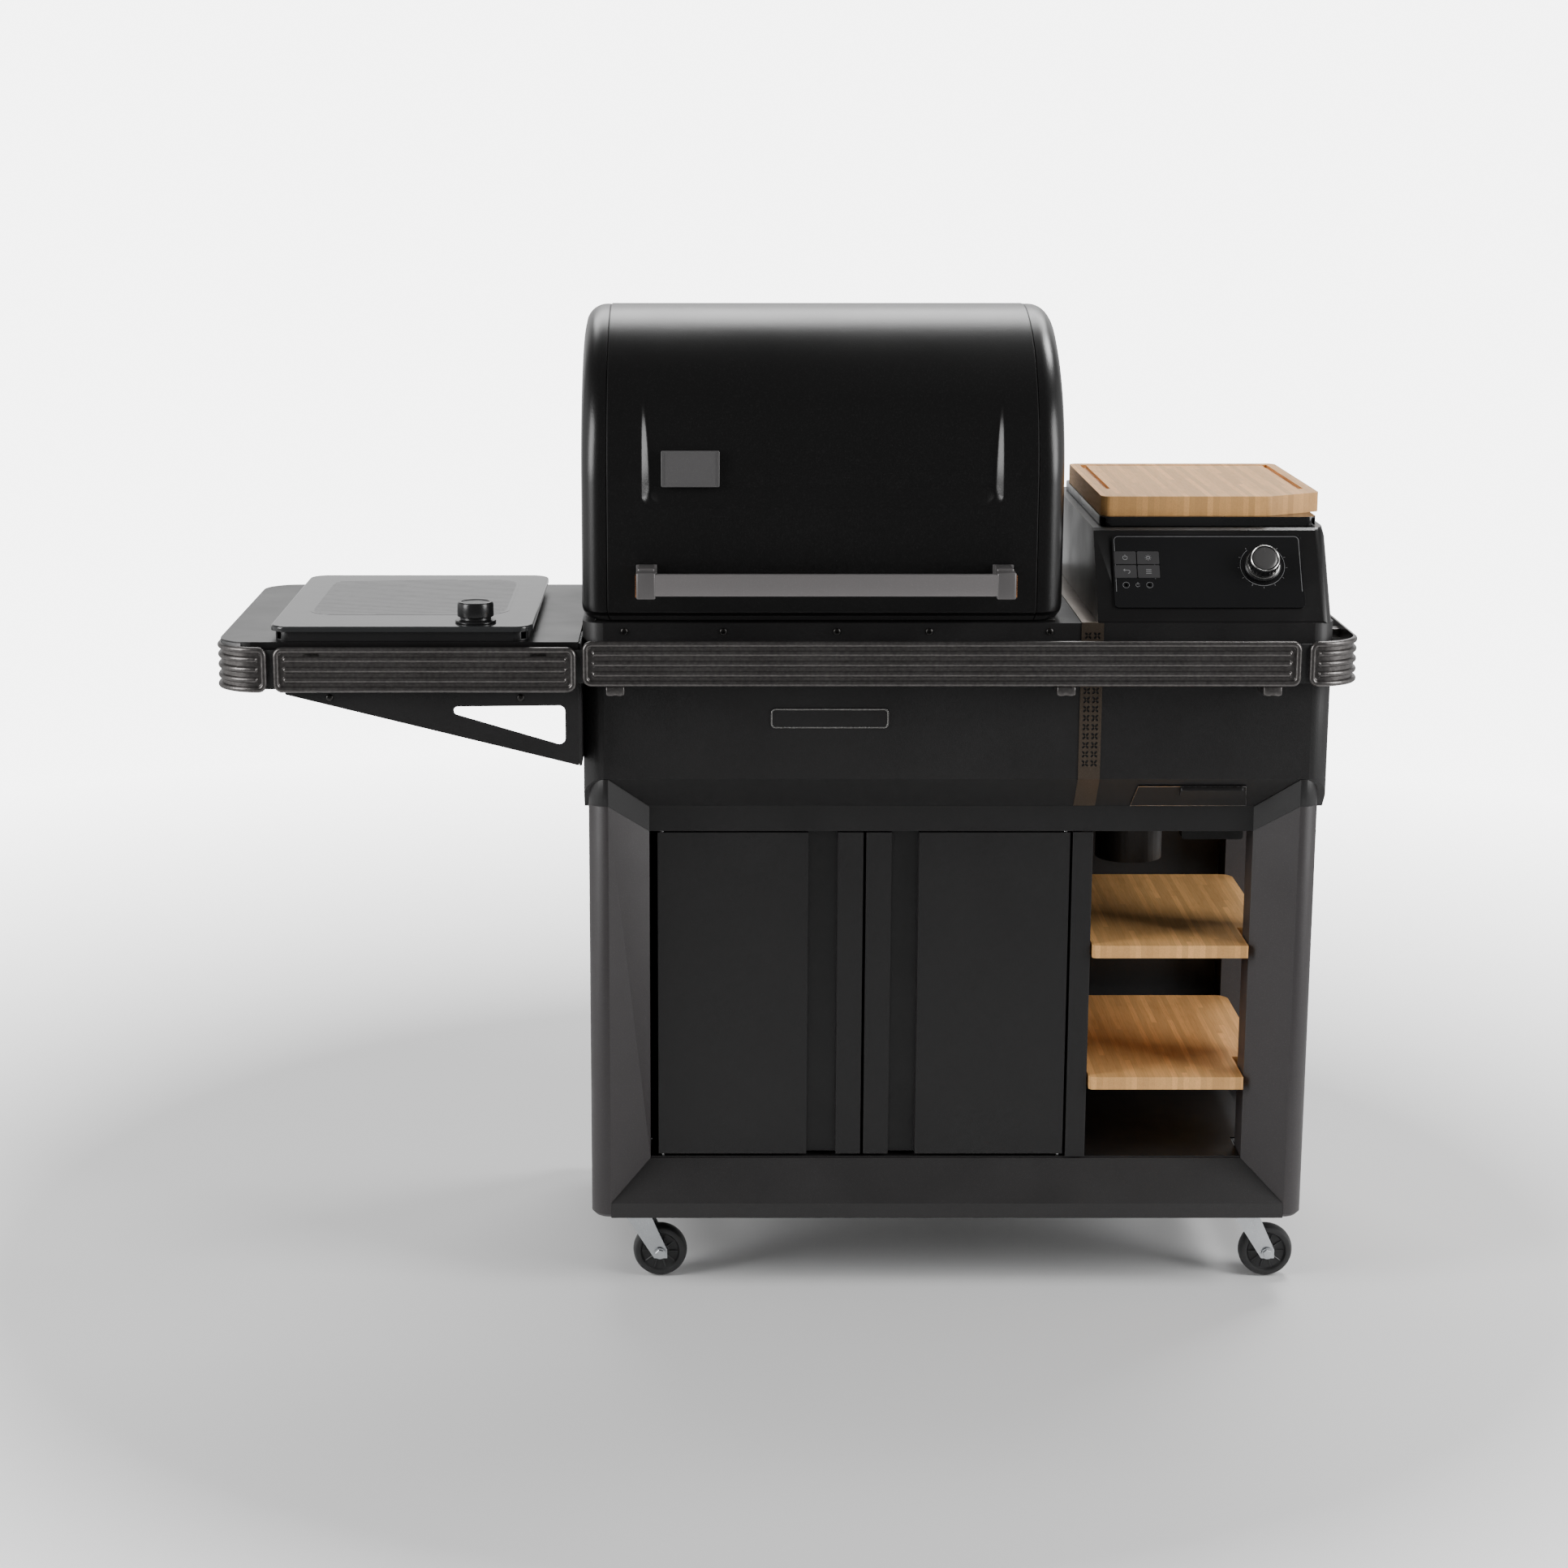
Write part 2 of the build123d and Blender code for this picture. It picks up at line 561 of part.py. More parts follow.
def caster_wheel(x, y):
    """Wheel with a crowned tread, recessed sides and a hub that fits between the fork legs."""
    with BuildPart() as wheel:
        with BuildSketch(Plane(origin=(x + TRAIL, y, WHEEL_R), x_dir=(1, 0, 0), z_dir=(0, 0, 1))):
            with BuildLine():
                half_hub = FORK_HALF - 1
                bore = AXLE_R + FIT
                Line((bore, -half_hub), (10, -half_hub))
                Polyline((10, -half_hub), (12, -7), (24, -7), (27, -WHEEL_W / 2), (WHEEL_R - 4, -WHEEL_W / 2))
                ThreePointArc((WHEEL_R - 4, -WHEEL_W / 2), (WHEEL_R, 0), (WHEEL_R - 4, WHEEL_W / 2))
                Polyline((WHEEL_R - 4, WHEEL_W / 2), (27, WHEEL_W / 2), (24, 7), (12, 7), (10, half_hub))
                Polyline((10, half_hub), (bore, half_hub), (bore, -half_hub))
            make_face()
        revolve(axis=Axis((x + TRAIL, y, WHEEL_R), (0, 1, 0)))
    return wheel.part


caster_forks = {place: caster_fork(x, y) for place, x, y in swivel_positions()}
caster_wheels = {place: caster_wheel(x, y) for place, x, y in swivel_positions()}

# ---------------------------------------------------------------- body
with BuildPart() as chamber_casing:
    add(body_envelope)
    add(body_hollow, mode=Mode.SUBTRACT)
    span_box(grow(CHAMBER_X, 1), grow(CHAMBER_Y, 1), (BODY_TOP - CUT, BODY_TOP + CUT), Mode.SUBTRACT)
    span_box(MOUTH_X, MOUTH_Y, (BODY_TOP - CUT, BODY_TOP + CUT), Mode.SUBTRACT)
    ash_y = (BODY_Y[0] - CUT, BODY_Y[0] + 45)
    span_box(grow(CLEANOUT_X, -12), ash_y, (BODY_LOW + 8, BODY_LOW + 30), Mode.SUBTRACT)
    span_box(EXHAUST_X, (BODY_Y[1] - CUT, BODY_Y[1] + CUT), EXHAUST_Z, Mode.SUBTRACT)
    for knuckle_x in BODY_TAB_X:
        span_box((knuckle_x, knuckle_x + TAB), (260.5, 276), (BODY_TOP - 20, HOOD_HINGE_Z))
        rod((knuckle_x, HOOD_HINGE_Y, HOOD_HINGE_Z), (1, 0, 0), KNUCKLE_R, TAB)
        rod((knuckle_x - 1, HOOD_HINGE_Y, HOOD_HINGE_Z), (1, 0, 0), HOOD_PIN_R, TAB + 2, Mode.SUBTRACT)


# The partition between the cooking chamber and the hopper side is a sheet of its own.
with BuildPart() as partition:
    add(body_hollow)
    span_box(PARTITION_X, grow(BODY_Y, 1), grow((BODY_LOW, BODY_TOP), 1), Mode.INTERSECT)
    rod((PARTITION_X[0] - 1, AUGER_Y, AUGER_Z), (1, 0, 0), TUBE_R + TUBE_FIT, 10, Mode.SUBTRACT)


def keg_rail(side):
    """Hanging rail under the casing that carries one side of the keg's rim."""
    web_x = sorted((KEG_AT[0] + side * 53, KEG_AT[0] + side * 57))
    foot_x = sorted((KEG_AT[0] + side * 57, KEG_AT[0] + side * 49))
    rail_y = grow((KEG_AT[1], KEG_AT[1]), KEG_RAIL_HALF)
    with BuildPart() as rail:
        span_box(web_x, rail_y, (KEG_RIM_Z - 1, BODY_LOW))
        span_box(foot_x, rail_y, (KEG_RIM_Z - 3, KEG_RIM_Z - 1))
    return rail.part.solids()[0]


casing = Compound(
    children=[chamber_casing.part.solids()[0], partition.part.solids()[0], keg_rail(-1), keg_rail(1)]
)

# The liner is a folded trough with a flange that lies on the casing's rim.
with BuildPart() as chamber_liner:
    rim_z = (BODY_TOP, BODY_TOP + LINER)
    span_box(grow(CHAMBER_X, 10), grow(CHAMBER_Y, 10), rim_z)
    span_box(CHAMBER_X, CHAMBER_Y, (CHAMBER_LOW, BODY_TOP))
    trough_z = (CHAMBER_LOW + LINER, BODY_TOP + 10)
    span_box(grow(CHAMBER_X, -LINER), grow(CHAMBER_Y, -LINER), trough_z, Mode.SUBTRACT)
    rod((330, AUGER_Y, AUGER_Z), (1, 0, 0), TUBE_R + 0.5, 30, Mode.SUBTRACT)
    vent_y = (CHAMBER_Y[1] - 10, CHAMBER_Y[1] + CUT)
    span_box(grow(EXHAUST_X, -10), vent_y, grow(EXHAUST_Z, -10), Mode.SUBTRACT)


def grate(x, y, z, bars, crossings):
    """Flat grate: a frame with evenly spaced bars from front to back and two cross bars."""
    size_x, size_y = length(x), length(y)
    with BuildPart() as lattice:
        with BuildSketch(Plane.XY.offset(z[0])):
            with Locations((sum(x) / 2, sum(y) / 2)):
                Rectangle(size_x, size_y)
                Rectangle(size_x - 2 * GRATE_EDGE, size_y - 2 * GRATE_EDGE, mode=Mode.SUBTRACT)
                with GridLocations(GRATE_PITCH, 1, bars, 1):
                    Rectangle(GRATE_BAR, size_y - GRATE_BAR)
                with GridLocations(1, crossings, 1, 2):
                    Rectangle(size_x - GRATE_BAR, GRATE_BAR)
        extrude(amount=length(z))
    return lattice.part.solids()[0]


def rack_leg(x, y):
    """Square leg that carries the upper rack above the lower grate."""
    with BuildPart() as leg:
        span_box((x, x + GRATE_BAR), (y, y + GRATE_BAR), (GRATE_Z[1], RACK_Z[0]))
    return leg.part.solids()[0]


rack_leg_x = (RACK_X[0] + 2, RACK_X[1] - 2 - GRATE_BAR)
rack_leg_y = (RACK_Y[0] + 4, RACK_Y[1] - GRATE_BAR)
cooking_grates = Compound(
    children=[
        grate((-236, 48), GRATE_Y, GRATE_Z, 12, 150),
        grate((52, 336), GRATE_Y, GRATE_Z, 12, 150),
        grate(RACK_X, RACK_Y, RACK_Z, 22, 100),
        *[rack_leg(x, y) for x in rack_leg_x for y in rack_leg_y],
    ]
)

with BuildPart() as drip_tray:
    span_box(TRAY_X, TRAY_Y, TRAY_Z)
    span_box(grow(TRAY_X, -SHEET), grow(TRAY_Y, -SHEET), (TRAY_Z[0] + SHEET, TRAY_Z[1] + 1), Mode.SUBTRACT)
    span_box(BAFFLE_X, BAFFLE_Y, (BAFFLE_LOW, BAFFLE_LOW + 3))
    for end_x in ((BAFFLE_X[0], BAFFLE_X[0] + 3), (BAFFLE_X[1] - 3, BAFFLE_X[1])):
        span_box(end_x, BAFFLE_Y, (BAFFLE_LOW, TRAY_Z[0]))

with BuildPart() as fire_pot:
    rod((0, AUGER_Y, CHAMBER_LOW + LINER), (0, 0, 1), POT_R, POT_H)
    rod((0, AUGER_Y, CHAMBER_LOW + 6), (0, 0, 1), POT_R - POT_WALL, POT_H + 10, Mode.SUBTRACT)
    rod((30, AUGER_Y, AUGER_Z), (1, 0, 0), TUBE_R + 0.5, 50, Mode.SUBTRACT)
    span_box((-72, -60), (AUGER_Y - 10, AUGER_Y + 10), (CHAMBER_LOW + LINER, 750))
    rod((-90, AUGER_Y, 728), (1, 0, 0), 5, 70)

with BuildPart() as temperature_probe:
    rod(PROBE_AT, (1, 0, 0), 3, PROBE_LEN)
    rod(PROBE_AT, (1, 0, 0), 9, 4)

# ---------------------------------------------------------------- pellet feed and fan
with BuildPart() as auger_tube:
    rod((TUBE_X[0], AUGER_Y, AUGER_Z), (1, 0, 0), TUBE_R, length(TUBE_X))
    rod((TUBE_X[0] - 1, AUGER_Y, AUGER_Z), (1, 0, 0), TUBE_R - TUBE_WALL, length(TUBE_X) - 1, Mode.SUBTRACT)
    rod((640, AUGER_Y, AUGER_Z), (1, 0, 0), AUGER_SHAFT_R + FIT, 10, Mode.SUBTRACT)
    span_box(BIN_LOW_X, (AUGER_Y - 20, AUGER_Y + 20), (AUGER_Z + 5, AUGER_Z + 40), Mode.SUBTRACT)

with BuildPart() as auger_screw:
    rod((AUGER_X[0], AUGER_Y, AUGER_Z), (1, 0, 0), AUGER_SHAFT_R, length(AUGER_X) + 12)
    flight_z_dir = Plane(origin=(AUGER_X[0] + 5, AUGER_Y, AUGER_Z), z_dir=(1, 0, 0))
    mid_r = (AUGER_SHAFT_R + FLIGHT_R) / 2
    flight_path = flight_z_dir * Helix(pitch=AUGER_PITCH, height=12 * AUGER_PITCH - 10, radius=mid_r)
    with BuildSketch(Plane(origin=flight_path @ 0, x_dir=flight_z_dir.x_dir, z_dir=flight_path % 0)):
        Rectangle(FLIGHT_R - AUGER_SHAFT_R + 2, 2.5)
    sweep(path=flight_path, is_frenet=True)

with BuildPart() as auger_motor:
    gear_y = grow((AUGER_Y, AUGER_Y), GEARBOX_HALF)
    span_box(GEARBOX_X, gear_y, (AUGER_Z - 40, AUGER_Z + GEARBOX_HALF))
    rod((TUBE_X[1], AUGER_Y, AUGER_Z), (1, 0, 0), 18, 8)
    rod((TUBE_X[1] - 1, AUGER_Y, AUGER_Z), (1, 0, 0), AUGER_SHAFT_R + FIT, 16, Mode.SUBTRACT)
    rod((676, AUGER_Y + GEARBOX_HALF, AUGER_Z - 8), (0, 1, 0), 20, 60)

with BuildPart() as blower_housing:
    fan_x, fan_z = FAN_AT
    rod((fan_x, FAN_Y[0], fan_z), (0, 1, 0), FAN_R, length(FAN_Y))
    span_box((fan_x - OUTLET_REACH, fan_x), FAN_Y, (fan_z - FAN_R, fan_z - FAN_R + OUTLET_H))
    rod((fan_x, FAN_Y[0] + SHEET, fan_z), (0, 1, 0), FAN_R - SHEET, length(FAN_Y) - 2 * SHEET, Mode.SUBTRACT)
    outlet_z = grow((fan_z - FAN_R, fan_z - FAN_R + OUTLET_H), -SHEET)
    span_box((fan_x - 110, fan_x), grow(FAN_Y, -SHEET), outlet_z, Mode.SUBTRACT)
    rod((fan_x, FAN_Y[0] - 1, fan_z), (0, 1, 0), 26, 5, Mode.SUBTRACT)
    rod((fan_x, FAN_Y[1] - SHEET, fan_z), (0, -1, 0), 12, 10)
    rod((fan_x, FAN_Y[1], fan_z), (0, -1, 0), 4 + FIT, 20, Mode.SUBTRACT)
    rod((fan_x, FAN_Y[1], fan_z), (0, 1, 0), 22, 26)

with BuildPart() as fan_impeller:
    disc_y = FAN_Y[1] - 16
    rod((fan_x, disc_y, fan_z), (0, 1, 0), 4, 14)
    rod((fan_x, disc_y, fan_z), (0, 1, 0), FAN_DISC_R, SHEET)
    with BuildSketch(Plane(origin=(fan_x, disc_y, fan_z), x_dir=(1, 0, 0), z_dir=(0, -1, 0))):
        with PolarLocations(FAN_DISC_R - 8, FAN_BLADES):
            Rectangle(16, 2, rotation=25)
    extrude(amount=24)

# ---------------------------------------------------------------- underside
with BuildPart() as ash_keg:
    rod((*KEG_AT, KEG_RIM_Z - KEG_DEPTH), (0, 0, 1), KEG_R, KEG_DEPTH + 8)
    rod((*KEG_AT, KEG_RIM_Z), (0, 0, 1), KEG_R + 5, 3)
    rod((*KEG_AT, KEG_RIM_Z - KEG_DEPTH + SHEET), (0, 0, 1), KEG_R - LINER, 80, Mode.SUBTRACT)

with BuildPart() as controller_box:
    span_box(CONTROLLER_X, CONTROLLER_Y, (CONTROLLER_LOW, BODY_LOW))
    fillet(controller_box.edges().filter_by(Axis.Y), 4)

with BuildPart() as exhaust_duct:
    span_box(DUCT_X, (BODY_Y[1], HALF_DEPTH), DUCT_Z)
    fillet(exhaust_duct.edges().filter_by(Axis.X).group_by(Axis.Y)[-1].sort_by(Axis.Z)[-1], DUCT_ROUND)
    with BuildPart(mode=Mode.PRIVATE) as duct_hollow:
        inner_z = (DUCT_Z[0] - 1, DUCT_Z[1] - SHEET)
        span_box(grow(DUCT_X, -SHEET), (BODY_Y[1] - 1, HALF_DEPTH - SHEET), inner_z)
        bend = duct_hollow.edges().filter_by(Axis.X).group_by(Axis.Y)[-1].sort_by(Axis.Z)[-1]
        fillet(bend, DUCT_ROUND - SHEET)
    add(duct_hollow.part, mode=Mode.SUBTRACT)

with BuildPart() as power_inlet:
    span_box(INLET_X, (BODY_Y[1], BODY_Y[1] + INLET_DEEP), INLET_Z)
    socket_y = (BODY_Y[1] + 2, BODY_Y[1] + INLET_DEEP + 1)
    span_box(grow(INLET_X, -12), socket_y, grow(INLET_Z, -12), Mode.SUBTRACT)
    for pin_x, pin_z in INLET_PINS:
        span_box((pin_x - 1, pin_x + 1), (BODY_Y[1] + 1, BODY_Y[1] + 8), (pin_z - 3, pin_z + 3))

slope_run = CREASE_Z - BODY_LOW - 4
slope_plane = Plane(
    origin=(sum(CLEANOUT_X) / 2, BODY_Y[0] + slope_run / 2, (CREASE_Z + BODY_LOW) / 2),
    x_dir=(1, 0, 0),
    z_dir=(0, BODY_LOW - CREASE_Z, -slope_run),
)
with BuildPart() as cleanout_door:
    with BuildSketch(slope_plane.offset(0.6)):
        with BuildLine():
            Polyline((-72, 17), (72, 17), (78, -28), (-78, -28), close=True)
        make_face()
    extrude(amount=1.5)
    with BuildSketch(slope_plane.offset(2.1)):
        with Locations((27, 6.5)):
            RectangleRounded(84, 16, 3)
    extrude(amount=5)

# ---------------------------------------------------------------- hood
def hood_block(inset):
    """Hood with upright front and back and a barrel top, walls and ends moved inwards by inset."""
    front, back = HOOD_Y[0] + inset, HOOD_Y[1] - inset
    middle = (front + back) / 2
    with BuildPart() as block:
        with BuildSketch(Plane.YZ.offset(HOOD_X[0] + inset)):
            with BuildLine():
                Line((front, HOOD_LOW - inset), (front, HOOD_SPRING))
                rise = HOOD_TOP - inset - HOOD_SPRING
                EllipticalCenterArc((middle, HOOD_SPRING), (back - front) / 2, rise, start_angle=0, arc_size=180)
                Line((back, HOOD_SPRING), (back, HOOD_LOW - inset))
                Line((back, HOOD_LOW - inset), (front, HOOD_LOW - inset))
            make_face()
        extrude(amount=length(HOOD_X) - 2 * inset)
        ends = block.faces().filter_by(Axis.X)
        rims = [edge for face in ends for edge in face.edges() if edge.center().Z > HOOD_LOW + 10]
        fillet(rims, HOOD_EDGE - inset)
    return block.part


hood_envelope = hood_block(0)
with BuildPart() as hood_shell:
    add(hood_envelope)
    add(hood_block(SHEET), mode=Mode.SUBTRACT)
    for knuckle_x in HOOD_TAB_X:
        tab_z = (HOOD_HINGE_Z - 4, HOOD_HINGE_Z + 4)
        span_box((knuckle_x, knuckle_x + TAB), (HOOD_Y[1] - 1, HOOD_HINGE_Y), tab_z)
        rod((knuckle_x, HOOD_HINGE_Y, HOOD_HINGE_Z), (1, 0, 0), KNUCKLE_R, TAB)
        rod((knuckle_x - 1, HOOD_HINGE_Y, HOOD_HINGE_Z), (1, 0, 0), HOOD_PIN_R + FIT, TAB + 2, Mode.SUBTRACT)

handle_y = (-HALF_DEPTH, -HALF_DEPTH + HANDLE_THICK)
with BuildPart() as handle_blocks:
    for block_x in ((HANDLE_X[0], HANDLE_X[0] + HANDLE_BLOCK), (HANDLE_X[1] - HANDLE_BLOCK, HANDLE_X[1])):
        span_box(block_x, (-HALF_DEPTH, HOOD_Y[0]), (HANDLE_Z[0] - 4, HANDLE_Z[1] + 5))
    fillet(handle_blocks.edges().filter_by(Axis.X).group_by(Axis.Y)[0], 3)
    span_box(HANDLE_X, handle_y, HANDLE_Z, Mode.SUBTRACT)

with BuildPart() as hood_handle:
    span_box(grow(HANDLE_X, -1), handle_y, HANDLE_Z)
    fillet(hood_handle.edges().filter_by(Axis.X), 3)

with BuildPart() as hood_badge:
    span_box(BADGE_X, (HOOD_Y[0] - BADGE_THICK, HOOD_Y[0] + 12), BADGE_Z)
    add(hood_envelope, mode=Mode.SUBTRACT)

with BuildPart() as nameplate:
    span_box(NAMEPLATE_X, (BODY_Y[0] - NAMEPLATE_THICK, BODY_Y[0]), NAMEPLATE_Z)
    fillet(nameplate.edges().filter_by(Axis.Y), 5)

# ---------------------------------------------------------------- hopper, console and lid
slope_len = (CONSOLE_SPAN[0] ** 2 + CONSOLE_SPAN[1] ** 2) ** 0.5
panel_share = (PANEL_MID[1] - CONSOLE_FOOT[1]) / CONSOLE_SPAN[1]
panel_y = CONSOLE_FOOT[0] + panel_share * CONSOLE_SPAN[0]
panel_normal = (0, -CONSOLE_SPAN[1] / slope_len, CONSOLE_SPAN[0] / slope_len)
console = Plane(origin=(PANEL_MID[0], panel_y, PANEL_MID[1]), x_dir=(1, 0, 0), z_dir=panel_normal)
button_spots = [
    (BUTTON_MID[0] + side * BUTTON_PITCH[0] / 2, BUTTON_MID[1] + row * BUTTON_PITCH[1] / 2)
    for row in (1, -1)
    for side in (-1, 1)
]
jack_spots = [(BUTTON_MID[0] + side * BUTTON_PITCH[0] / 2, JACK_Y) for side in (-1, 1)]


def console_block(inset):
    """Console above the deck, with its sloped front, walls moved inwards by inset."""
    with BuildPart() as block:
        with BuildSketch(Plane.YZ.offset(CONSOLE_X[0] + inset)):
            with BuildLine():
                Polyline(
                    (CONSOLE_FOOT[0], BODY_TOP),
                    CONSOLE_FOOT,
                    CONSOLE_BROW,
                    (CONSOLE_BROW[0] + 6, CONSOLE_TOP),
                    (CONSOLE_BACK, CONSOLE_TOP),
                    (CONSOLE_BACK, BODY_TOP),
                    close=True,
                )
            make_face()
            if inset:
                offset(amount=-inset)
        extrude(amount=length(CONSOLE_X) - 2 * inset)
        right_face = block.faces().sort_by(Axis.X)[-1]
        slanted = [e for e in right_face.edges() if e.center().Z > BODY_TOP + 10 and e.center().Y < 0]
        fillet(slanted, 14 - inset)
    return block.part


with BuildPart() as hopper_casing:
    add(console_block(0))
    add(console_block(SHEET), mode=Mode.SUBTRACT)
    span_box(MOUTH_X, MOUTH_Y, (BODY_TOP - 1, BODY_TOP + CUT), Mode.SUBTRACT)
    lip_z = (CONSOLE_TOP - 8, CONSOLE_TOP + CUT)
    span_box(grow(BIN_TOP_X, 0.5), grow(BIN_TOP_Y, 0.5), lip_z, Mode.SUBTRACT)
    with BuildSketch(console.offset(2)):
        Rectangle(PANEL_W - 12, PANEL_H - 12)
    extrude(amount=-10, mode=Mode.SUBTRACT)
    for knuckle_x in CONSOLE_TAB_X:
        ear_y = (LID_HINGE_Y - 5, LID_HINGE_Y + 5)
        span_box((knuckle_x, knuckle_x + LID_TAB), ear_y, (CONSOLE_TOP - 1, LID_HINGE_Z))
        rod((knuckle_x, LID_HINGE_Y, LID_HINGE_Z), (1, 0, 0), LID_KNUCKLE_R, LID_TAB)
        rod((knuckle_x - 1, LID_HINGE_Y, LID_HINGE_Z), (1, 0, 0), LID_PIN_R, LID_TAB + 2, Mode.SUBTRACT)


def bin_corners(inset):
    """Corners of the hopper bin, bottom ring first, each anticlockwise from the front left."""
    rings = []
    for z, x, y in ((BIN_LOW_Z, BIN_LOW_X, BIN_LOW_Y), (BIN_TOP_Z, BIN_TOP_X, BIN_TOP_Y)):
        (x0, x1), (y0, y1) = grow(x, -inset), grow(y, -inset)
        rings.append([(x0, y0, z), (x1, y0, z), (x1, y1, z), (x0, y1, z)])
    return rings


def bin_wall(index):
    """One sloped wall of the funnel from the hopper's mouth to the auger, mitred at its corners."""
    after = (index + 1) % 4
    outer, inner = bin_corners(0), bin_corners(BIN_SHEET)
    with BuildPart() as wall:
        for low_or_high in (0, 1):
            ring_out, ring_in = outer[low_or_high], inner[low_or_high]
            with BuildSketch(Plane.XY.offset(ring_out[0][2])):
                with BuildLine():
                    around = (ring_out[index], ring_out[after], ring_in[after], ring_in[index])
                    Polyline(*[(x, y) for x, y, _ in around], close=True)
                make_face()
        loft(ruled=True)
    return wall.part.solids()[0]


hopper_bin = Compound(children=[bin_wall(index) for index in range(4)])

with BuildPart() as hopper_lid:
    span_box(LID_X, LID_Y, LID_Z)
    fillet(hopper_lid.edges().filter_by(Axis.Z), 14)
    span_box(grow(LID_X, -SHEET), grow(LID_Y, -SHEET), (LID_Z[0] - 1, LID_Z[1] - SHEET), Mode.SUBTRACT)
    for knuckle_x in LID_TAB_X:
        ear_z = (LID_HINGE_Z - 3, LID_HINGE_Z + 3)
        span_box((knuckle_x, knuckle_x + LID_TAB), (LID_Y[1] - 1, LID_HINGE_Y), ear_z)
        rod((knuckle_x, LID_HINGE_Y, LID_HINGE_Z), (1, 0, 0), LID_KNUCKLE_R, LID_TAB)
        rod((knuckle_x - 1, LID_HINGE_Y, LID_HINGE_Z), (1, 0, 0), LID_PIN_R + FIT, LID_TAB + 2, Mode.SUBTRACT)

with BuildPart() as cutting_board:
    span_box(CUT_BOARD_X, CUT_BOARD_Y, (LID_Z[1], CUT_BOARD_TOP))
    front_right = (CUT_BOARD_X[1], CUT_BOARD_Y[0], CUT_BOARD_TOP)
    chamfer(cutting_board.edges().filter_by(Axis.Z).sort_by_distance(front_right)[0], *BOARD_CUT)
    fillet(cutting_board.edges().filter_by(Axis.Z), 12)
    groove_x = grow(CUT_BOARD_X, -GROOVE_IN)
    groove_y = (CUT_BOARD_Y[0] + 84, CUT_BOARD_Y[1] - 18)
    groove_z = (CUT_BOARD_TOP - GROOVE_DEEP, CUT_BOARD_TOP + 1)
    for side_x in ((groove_x[0], groove_x[0] + GROOVE_W), (groove_x[1] - GROOVE_W, groove_x[1])):
        span_box(side_x, groove_y, groove_z, Mode.SUBTRACT)
    span_box(groove_x, (groove_y[1] - GROOVE_W, groove_y[1]), groove_z, Mode.SUBTRACT)

with BuildPart() as display_panel:
    with BuildSketch(console):
        RectangleRounded(PANEL_W, PANEL_H, 6)
    extrude(amount=PANEL_THICK)
    with BuildSketch(console):
        Rectangle(PANEL_W - 2 * PANEL_EDGE, PANEL_H - 2 * PANEL_EDGE)
    extrude(amount=-14)
    with BuildSketch(console.offset(PANEL_THICK - 2.4)):
        with Locations(*button_spots):
            Rectangle(BUTTON_W + 2 * GAP, BUTTON_H + 2 * GAP)
    extrude(amount=10, mode=Mode.SUBTRACT)
    with BuildSketch(console.offset(PANEL_THICK - 12)):
        with Locations(*jack_spots):
            Circle(JACK_R)
    extrude(amount=20, mode=Mode.SUBTRACT)
    with BuildSketch(console.offset(PANEL_THICK - 12)):
        with Locations(KNOB_AT):
            Circle(KNOB_SHAFT_R + FIT)
    extrude(amount=20, mode=Mode.SUBTRACT)


def button(spot):
    """Key that stands just proud of the panel above its well."""
    with BuildPart() as key:
        with BuildSketch(console.offset(PANEL_THICK - 1.3)):
            with Locations(spot):
                RectangleRounded(BUTTON_W, BUTTON_H, 1.5)
        extrude(amount=KEY_HEIGHT)
    return key.part


buttons = {f"button_{number + 1}": button(spot) for number, spot in enumerate(button_spots)}

with BuildPart() as control_knob:
    with BuildSketch(console.offset(PANEL_THICK + GAP)):
        with Locations(KNOB_AT):
            Circle(KNOB_R)
    extrude(amount=KNOB_SKIRT)
    with BuildSketch(console.offset(PANEL_THICK + GAP + KNOB_SKIRT)):
        with Locations(KNOB_AT):
            Circle(KNOB_R - 2.5)
    extrude(amount=KNOB_BODY, taper=4)
    with BuildSketch(console.offset(PANEL_THICK - 10)):
        with Locations(KNOB_AT):
            Circle(KNOB_SHAFT_R)
    extrude(amount=12)

# ---------------------------------------------------------------- accent strip, shelf and cooktop
with BuildPart() as accent_strip:
    add(body_block(-STRIP_THICK))
    add(body_envelope, mode=Mode.SUBTRACT)
    span_box(STRIP_X, (-400, -240), (BODY_LOW, BODY_TOP + STRIP_THICK), Mode.INTERSECT)
    with BuildSketch(Plane.XZ.offset(-BODY_Y[0] - 3)):
        with Locations((400.2, 845)):
            with GridLocations(*STRIP_HOLES):
                SlotOverall(8, 4.4, rotation=35)
    extrude(amount=10, mode=Mode.SUBTRACT)
    span_box(STRIP_DECK_X, (BODY_Y[0], 240), (BODY_TOP, BODY_TOP + STRIP_THICK))

with BuildPart() as side_shelf:
    span_box(SHELF_X, SHELF_Y, (SHELF_TOP - SHELF_SKIRT, SHELF_TOP))
    fillet(side_shelf.edges().filter_by(Axis.Z).group_by(Axis.X)[0], 45)
    under = grow(SHELF_X, -SHEET)
    span_box(under, grow(SHELF_Y, -SHEET), (SHELF_TOP - 50, SHELF_TOP - SHEET), Mode.SUBTRACT)

